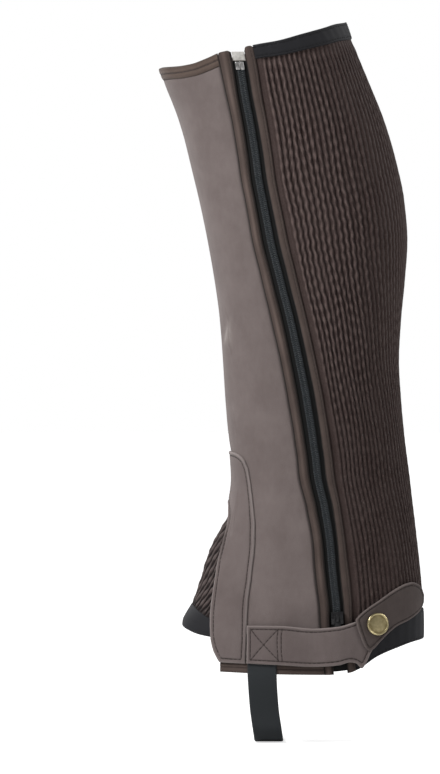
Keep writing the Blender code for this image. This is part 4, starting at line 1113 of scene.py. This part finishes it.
def make_zip_bindings():
    for node, left, right, stitch_at, highlight_at, front in (
            ("zip_front_binding", wrap_seam, tape_front, 0.76, 0.47, True),
            ("zip_rear_binding", tape_rear, rib_seam, 0.74, 0.28, False)):
        start, end = between(left, right)
        height, girth = where = grid_between(start, end, hem, rounded_rim(start, end),
                                             stations((0, 0.2, 0.5), 16), stations((0, 0.4), 300))
        width = (end(height) - start(height)) * half_girth(height)
        share = np.clip((girth - start(height)) / (end(height) - start(height)), 0, 1)
        crown = np.clip(4 * share * (1 - share), 0, 1) ** 0.6
        groove = dip((share - stitch_at) * width, 0.4)
        uneven = 0.10 * np.sin(height / 13) + 0.07 * np.sin(height / 5.3 + 1)
        lift = BINDING_EDGE + (BINDING_CROWN + uneven - BINDING_EDGE) * crown - 0.3 * groove
        # The crown tone is painted light: a highlight part way across, and painted shade by the seam, by the
        # tape, in the stitch groove and lower down.
        low_down = eased(-height, 60, 180)
        near, far = share * width, (1 - share) * width
        if front:
            seam_dark, tape_dark = 1 - eased(near, 0.3, 1.9), 1 - eased(far, 0.2, 2.2)
            ground, bright, sunk = 0.40, 0.36 - 0.10 * low_down, 0.15
        else:
            seam_dark, tape_dark = 0.3 * (1 - eased(far, 0.1, 1.1)), 1 - eased(near, 0.2, 1)
            ground, bright, sunk = 0.40 - 0.08 * low_down, 0.17, 0.06
        tone = ground + bright * (1 + 2 * uneven) * dip(share - highlight_at, 0.2)
        tone -= 0.42 * np.maximum(seam_dark, tape_dark) + sunk * groove
        piece = cloth(node + "_fold", "binding", node, where, lift, -SUEDE, BINDING, coarse=3, pulled=True,
                      crown=np.clip(tone, 0, 1))
        level = np.linspace(-293, 127, 400)
        row = chart(level, start(level) + (end(level) - start(level)) * stitch_at)
        thread = stitched(node + "_stitches", [(row, lambda h, g: 0.5 + drawn_in(h, g), False)])
        declare(piece, fullness=BINDING_FOLDS)


def make_zip():
    for node, left, right in (("zip_tape_front", tape_front, zip_middle),
                              ("zip_tape_rear", zip_middle, tape_rear)):
        where = grid_between(*between(left, right), raised(hem, TAPE_ABOVE_HEM), level_at(ZIP_TOP_STOP),
                             stations((0, 0.4), 10), stations(EVEN, 240))
        piece = cloth(node + "_woven", "zip_tape", node, where, TAPE_LIFT, 2 * TAPE_LIFT, TAPE, coarse=2,
                      pulled=True)
        declare(piece, whole_width=TAPE_WIDTH)
    stands = []
    for side, shift in ((-1, 0), (1, COIL_PITCH / 2)):
        height = np.arange(CHAIN_END, CHAIN_START, COIL_PITCH / 1.03) + shift
        girth = zip_middle(height) + side * TOOTH_ASIDE / half_girth(height)
        place, outward = form_at(height, girth)
        ahead = on_form(height, girth + 1 / half_girth(height)) - place
        ahead /= np.linalg.norm(ahead, axis=1, keepdims=True)
        climb = on_form(height + 1, girth) - place
        lift = (TOOTH_LIFT + drawn_in(height, girth))[:, None]
        stands.append((place + outward * lift, ahead + side * TOOTH_SLANT * climb, outward))
    scattered("zip_coil_teeth", "zip_chain", TOOTH, stands, COIL)
    start, end = moved(zip_middle, -CORE_HALF_WIDTH), moved(zip_middle, CORE_HALF_WIDTH)
    height, girth = where = grid_between(start, end, level_at(CHAIN_END), level_at(CHAIN_START),
                                         stations((0, 0.4), 6), stations(EVEN, 200))
    share = (girth - start(height)) / (end(height) - start(height))
    cloth("zip_coil_core", "zip_coil", None, where, -0.2 + 0.35 * np.sin(math.pi * share), -0.4, COIL,
          coarse=2, pulled=True)
    for name, slot, node, width, material in (
            ("zip_film_clear", "zip_film", "zip_film", 0.18, FILM),
            ("zip_box_bright", "zip_steel", "zip_box", 0.4, STEEL),
            ("zip_pin_bright", "zip_steel", "zip_pin", 0.4, STEEL),
            ("zip_slider_body", "zip_slider", "zip_slider", 0.3, LACQUER),
            ("zip_pull_plate", "zip_slider", "zip_pull", 0.25, LACQUER)):
        softened(name, node, width, material)


# ------------------------------------------------------------------ strap, tab and snap
def laid_leather(name, slot, node, low, high, stand_off, thickness, material, counts, edge_radius,
                 stitch_inset, extra_rows):
    """A leather strip that lies over its neighbours at its own stand-off, sewn round its edge."""
    left, right = [seam([Place(end.back, height) for height in (-300, -280, -260, -235)])
                   for end in (high[0], high[-1])]
    where = grid_between(left, right, edge(low), edge(high), *[stations(CUT_EDGE, count) for count in counts])
    base, outline = on_form(*where), outline_of(*where)
    border = away_from(base, outline, 0.4)
    rows = [(inset(outline, stitch_inset), True)] + [(row, False) for row in extra_rows]
    groove = np.max([dip(away_from(base, row, 0.4, closed), 0.5) for row, closed in rows], axis=0)

    def standing(height, girth):
        return stand_off(form_at(height, girth)[0][..., 1])

    under = standing(*where)
    lift = under + 0.3 + (thickness - 0.3) * rolled(border, edge_radius) - 0.42 * groove
    lift += 0.14 * dip(border - 1.2, 0.7)
    # The rim tone paints a pale edge, partly the cut edge's own colour and partly a painted highlight; the
    # groove tone paints shade in the stitch grooves.
    piece = cloth(name, slot, node, where, lift, under, material, rim=border, groove=groove)
    thread = stitched(name + "_stitches",
                      [(row, lambda h, g: standing(h, g) + thickness - 0.27, closed) for row, closed in rows])
    declare(piece)


def make_strap_and_tab():
    # The sewn box by the patch: its diagonals, its rear side and a second row behind that.
    front, rear, second, high, low = -38.8, -20.4, -17.7, -268.2, -289.0
    ends = (((front, high), (rear, low)), ((front, low), (rear, high)), ((rear, low), (rear, high)),
            ((second, low), (second, high)))
    box = [np.array([chart(height, girth_of(back, height)) for back, height in pair]) for pair in ends]
    laid_leather("snap_strap_suede", "suede_overlay", "snap_strap", STRAP_BOTTOM, STRAP_TOP, strap_stand_off,
                 STRAP_THICKNESS, STRAP_SUEDE, (110, 22), 0.8, 2.6, box)
    laid_leather("heel_tab_leather", "tab_leather", "heel_tab", TAB_BOTTOM, TAB_TOP, tab_stand_off,
                 TAB_THICKNESS, TAB_LEATHER, (60, 26), 0.9, 2.3, [])


# Profile of the domed cap, from the middle of its top out and down to its seat, and how rubbed it is.
CapRing = namedtuple("CapRing", "radius height rubbed")
SNAP_CAP = table(
    CapRing, (0, 2.84, 0.62), (1.4, 2.82, 0.6), (2.8, 2.76, 0.58), (4.2, 2.66, 0.5), (5.3, 2.54, 0.42),
    (5.9, 2.44, 0.3), (6.25, 2.44, 0.3), (6.5, 2.58, 0.55), (6.75, 2.80, 0.95), (7.1, 2.98, 1),
    (7.45, 2.88, 1), (7.7, 2.55, 0.9), (7.8, 2, 0.6), (7.7, 1.3, 0.4), (7.2, 0.7, 0.2), (6.4, 0.35, 0.1),
    (4.2, 0.05, 0), (0, 0.05, 0))


def make_snap():
    spot, out = form_at(SNAP_PLACE.height, girth_of(SNAP_PLACE.back, SNAP_PLACE.height))
    out = Vector(out).normalized()
    along = Vector((0, 0, 1))
    along = (along - out * along.dot(out)).normalized()
    turn = Matrix((along.cross(out), along, out)).transposed().to_4x4()
    turn.translation = Vector(spot) * MM
    seat = float(tab_stand_off(SNAP_PLACE.back)) + TAB_THICKNESS + LAYER_GAP
    bm = bmesh.new()
    rubbed = bm.verts.layers.float.new("rubbed")
    profile = [bm.verts.new((ring.radius * MM, 0, (seat + ring.height) * MM)) for ring in SNAP_CAP]
    for vert, ring in zip(profile, SNAP_CAP):
        vert[rubbed] = ring.rubbed
    lines = [bm.edges.new(pair) for pair in zip(profile, profile[1:])]
    bmesh.ops.spin(bm, geom=profile + lines, cent=(0, 0, 0), axis=(0, 0, 1), angle=2 * math.pi, steps=72,
                   use_merge=True)
    bmesh.ops.remove_doubles(bm, verts=bm.verts, dist=1e-6)
    bmesh.ops.recalc_face_normals(bm, faces=bm.faces)
    bmesh.ops.transform(bm, matrix=turn, verts=bm.verts)
    dress(piece_from(bm, "snap_cap_brass", BRASS, 60), "snap_cap")


# ------------------------------------------------------------------ the loop of elastic below
ELASTIC_WIDTH = 20
ELASTIC_THICKNESS = 1.3
ELASTIC_TOP = -273
ELASTIC_LEAVES = -298       # where it leaves the wrap
ELASTIC_UNDERFOOT = -345
ELASTIC_HALF_SPAN = 36.5
ELASTIC_CORNER = 12
ELASTIC_EDGE = table(Place, (-36.8, -346), (-40.4, -320), (-41.6, -298), (-41.6, -270))
elastic_edge = curve_of(ELASTIC_EDGE, "height", "back")
ELASTIC_WIDTHS = np.linspace(0, ELASTIC_WIDTH, 29)


def elastic_side(side):
    """Rows of near and far points down one side, from the strap to the middle of the loop."""
    rolling = rolled(np.minimum(ELASTIC_WIDTHS, ELASTIC_WIDTH - ELASTIC_WIDTHS), 0.5)
    grown = ELASTIC_THICKNESS * (0.35 + 0.65 * rolling)
    rows = []
    for height in np.linspace(ELASTIC_TOP, ELASTIC_LEAVES, 9):
        backs = float(elastic_edge(height)) + ELASTIC_WIDTHS
        girths = side * np.array([girth_of(back, height) for back in backs])
        rows.append((on_form(height, girths, np.full(girths.shape, LAYER_GAP)),
                     on_form(height, girths, LAYER_GAP + grown)))
    backs = float(elastic_edge(ELASTIC_LEAVES)) + ELASTIC_WIDTHS
    hug = np.array([on_form(ELASTIC_LEAVES, girth_of(back, ELASTIC_LEAVES), LAYER_GAP)[0] for back in backs])
    bow = side * (hug - hug[len(hug) // 2])
    clear = on_form(ELASTIC_LEAVES, girth_of(-32, ELASTIC_LEAVES))[0] + LAYER_GAP
    turn_height, flat_span = ELASTIC_UNDERFOOT + ELASTIC_CORNER, ELASTIC_HALF_SPAN - ELASTIC_CORNER
    stops = []              # height, how far out, how much of the bow is kept, and the turn
    for share in np.arange(1, 13) / 12:
        out = clear + (ELASTIC_HALF_SPAN - clear) * (3 * share ** 2 - 2 * share ** 3)
        stops.append((ELASTIC_LEAVES + (turn_height - ELASTIC_LEAVES) * share, out, 1 - share, 0))
    for turn in math.pi / 2 * np.arange(1, 11) / 10:
        stops.append((turn_height - ELASTIC_CORNER * math.sin(turn),
                      flat_span + ELASTIC_CORNER * math.cos(turn), 0, turn))
    for share in np.arange(1, 9) / 8:
        stops.append((ELASTIC_UNDERFOOT, flat_span * (1 - share), 0, math.pi / 2))
    for height, out, kept, turn in stops:
        backs = float(elastic_edge(height)) + ELASTIC_WIDTHS
        near = np.stack((side * out + kept * bow, backs, np.full(backs.shape, height)), axis=1)
        facing = np.array((side * math.cos(turn), 0, -math.sin(turn)))
        rows.append((near, near + facing * grown[:, None]))
    return rows


def make_foot_elastic():
    near, far = [np.array(face) * MM for face in zip(*elastic_side(-1)[:-1], *elastic_side(1)[::-1])]
    run = np.cumsum(np.linalg.norm(np.diff(far[:, 0], axis=0, prepend=far[:1, 0]), axis=1))
    flat = np.stack(np.broadcast_arrays(ELASTIC_WIDTHS * MM, run[:, None]), axis=-1)
    bm = two_faced((far, flat, {}), (near, flat, {}))
    bmesh.ops.recalc_face_normals(bm, faces=bm.faces)
    piece = piece_from(bm, "foot_elastic_strap", FOOT_ELASTIC)
    note_cut(piece, flat)
    dress(piece, "foot_elastic")
    declare(piece)


# ------------------------------------------------------------------ floor, light and camera
PIXEL = 0.00069             # metres of the garment to one pixel of the picture
PICTURE = (440, 774)
ORIGIN_PIXEL = (308, 240)   # where the garment's origin lies in the picture
CAMERA_DISTANCE = 5.8
SCALE_PLANE = 0.035         # how far out of the garment's middle the picture's scale is true
CAMERA_RISE = math.radians(0.7)
SENSOR = 36
FLOOR_LEVEL = -0.3470       # just clear of the elastic's lowest face
FLOOR_GLOW = 0.66           # lifts the floor towards the white of the backdrop, fully so from afar
WHITE = (1, 1, 1)
AMBIENT = 0.20
Lamp = namedtuple("Lamp", "name place watts size")
LAMPS = table(Lamp, ("key", (0.95, -1.30, 1.15), 34, 0.7), ("rim_light", (-1.3, -1.2, 0.9), 16, 0.8),
              ("fill", (-0.9, 1.5, 1.0), 12, 0.9), ("rear_fill", (0.8, 1.5, 0.7), 7, 0.9))


def make_stage():
    bm = bmesh.new()
    bmesh.ops.create_grid(bm, x_segments=1, y_segments=1, size=12)
    bmesh.ops.translate(bm, verts=bm.verts, vec=(0, 0, FLOOR_LEVEL))
    paint = Paint("floor_pale", specular=0.1)
    place = paint.place()
    away = paint.add("ShaderNodeVectorMath", {0: place}, operation="LENGTH")["Value"]
    glow = paint.times(paint.seen(), paint.spread(away, 0.8, 2.4, FLOOR_GLOW, 1, smooth=True))
    mottled = paint.blend(paint.noise(place, 2), scaled(WHITE, 0.66), scaled(WHITE, 0.68))
    paint.shade({"Base Color": mottled, "Roughness": 0.9, "Emission Color": WHITE, "Emission Strength": glow})
    piece_from(bm, "floor", paint.material)


def make_light():
    world = bpy.data.worlds.new("studio")
    bpy.context.scene.world = world
    world.use_nodes = True
    nodes = Nodes(world.node_tree)
    strength = nodes.spread(nodes.seen(), 0, 1, AMBIENT, 1)
    nodes.fill_all(world.node_tree.nodes["Background"].inputs, {"Color": WHITE, "Strength": strength})
    for row in LAMPS:
        lamp = bpy.data.lights.new(row.name, "AREA")
        lamp.energy = row.watts
        lamp.shape = "DISK"
        lamp.size = row.size
        piece = bpy.data.objects.new(row.name, lamp)
        piece.location = row.place
        piece.rotation_mode = "QUATERNION"
        piece.rotation_quaternion = Vector(row.place).to_track_quat("Z", "Y")
        piece.visible_camera = False
        bpy.context.scene.collection.objects.link(piece)
    bpy.context.scene.view_settings.view_transform = "Standard"


def make_camera():
    lens = bpy.data.cameras.new("camera")
    lens.sensor_width = SENSOR
    lens.lens = SENSOR * (CAMERA_DISTANCE - SCALE_PLANE) / (PICTURE[1] * PIXEL)
    lens.clip_end = 100
    camera = bpy.data.objects.new("camera", lens)
    target = Vector((0, PICTURE[0] / 2 - ORIGIN_PIXEL[0], ORIGIN_PIXEL[1] - PICTURE[1] / 2)) * PIXEL
    camera.location = target + Vector((math.cos(CAMERA_RISE), 0, math.sin(CAMERA_RISE))) * CAMERA_DISTANCE
    camera.rotation_euler = (math.pi / 2 - CAMERA_RISE, 0, math.pi / 2)
    bpy.context.scene.collection.objects.link(camera)
    bpy.context.scene.camera = camera


for make in (make_camera, make_stage, make_light, make_wrap, make_patch, make_wrap_bindings, make_calf_panel,
             make_calf_bands, make_gusset, make_zip_bindings, make_zip, make_strap_and_tab, make_snap,
             make_foot_elastic):
    make()
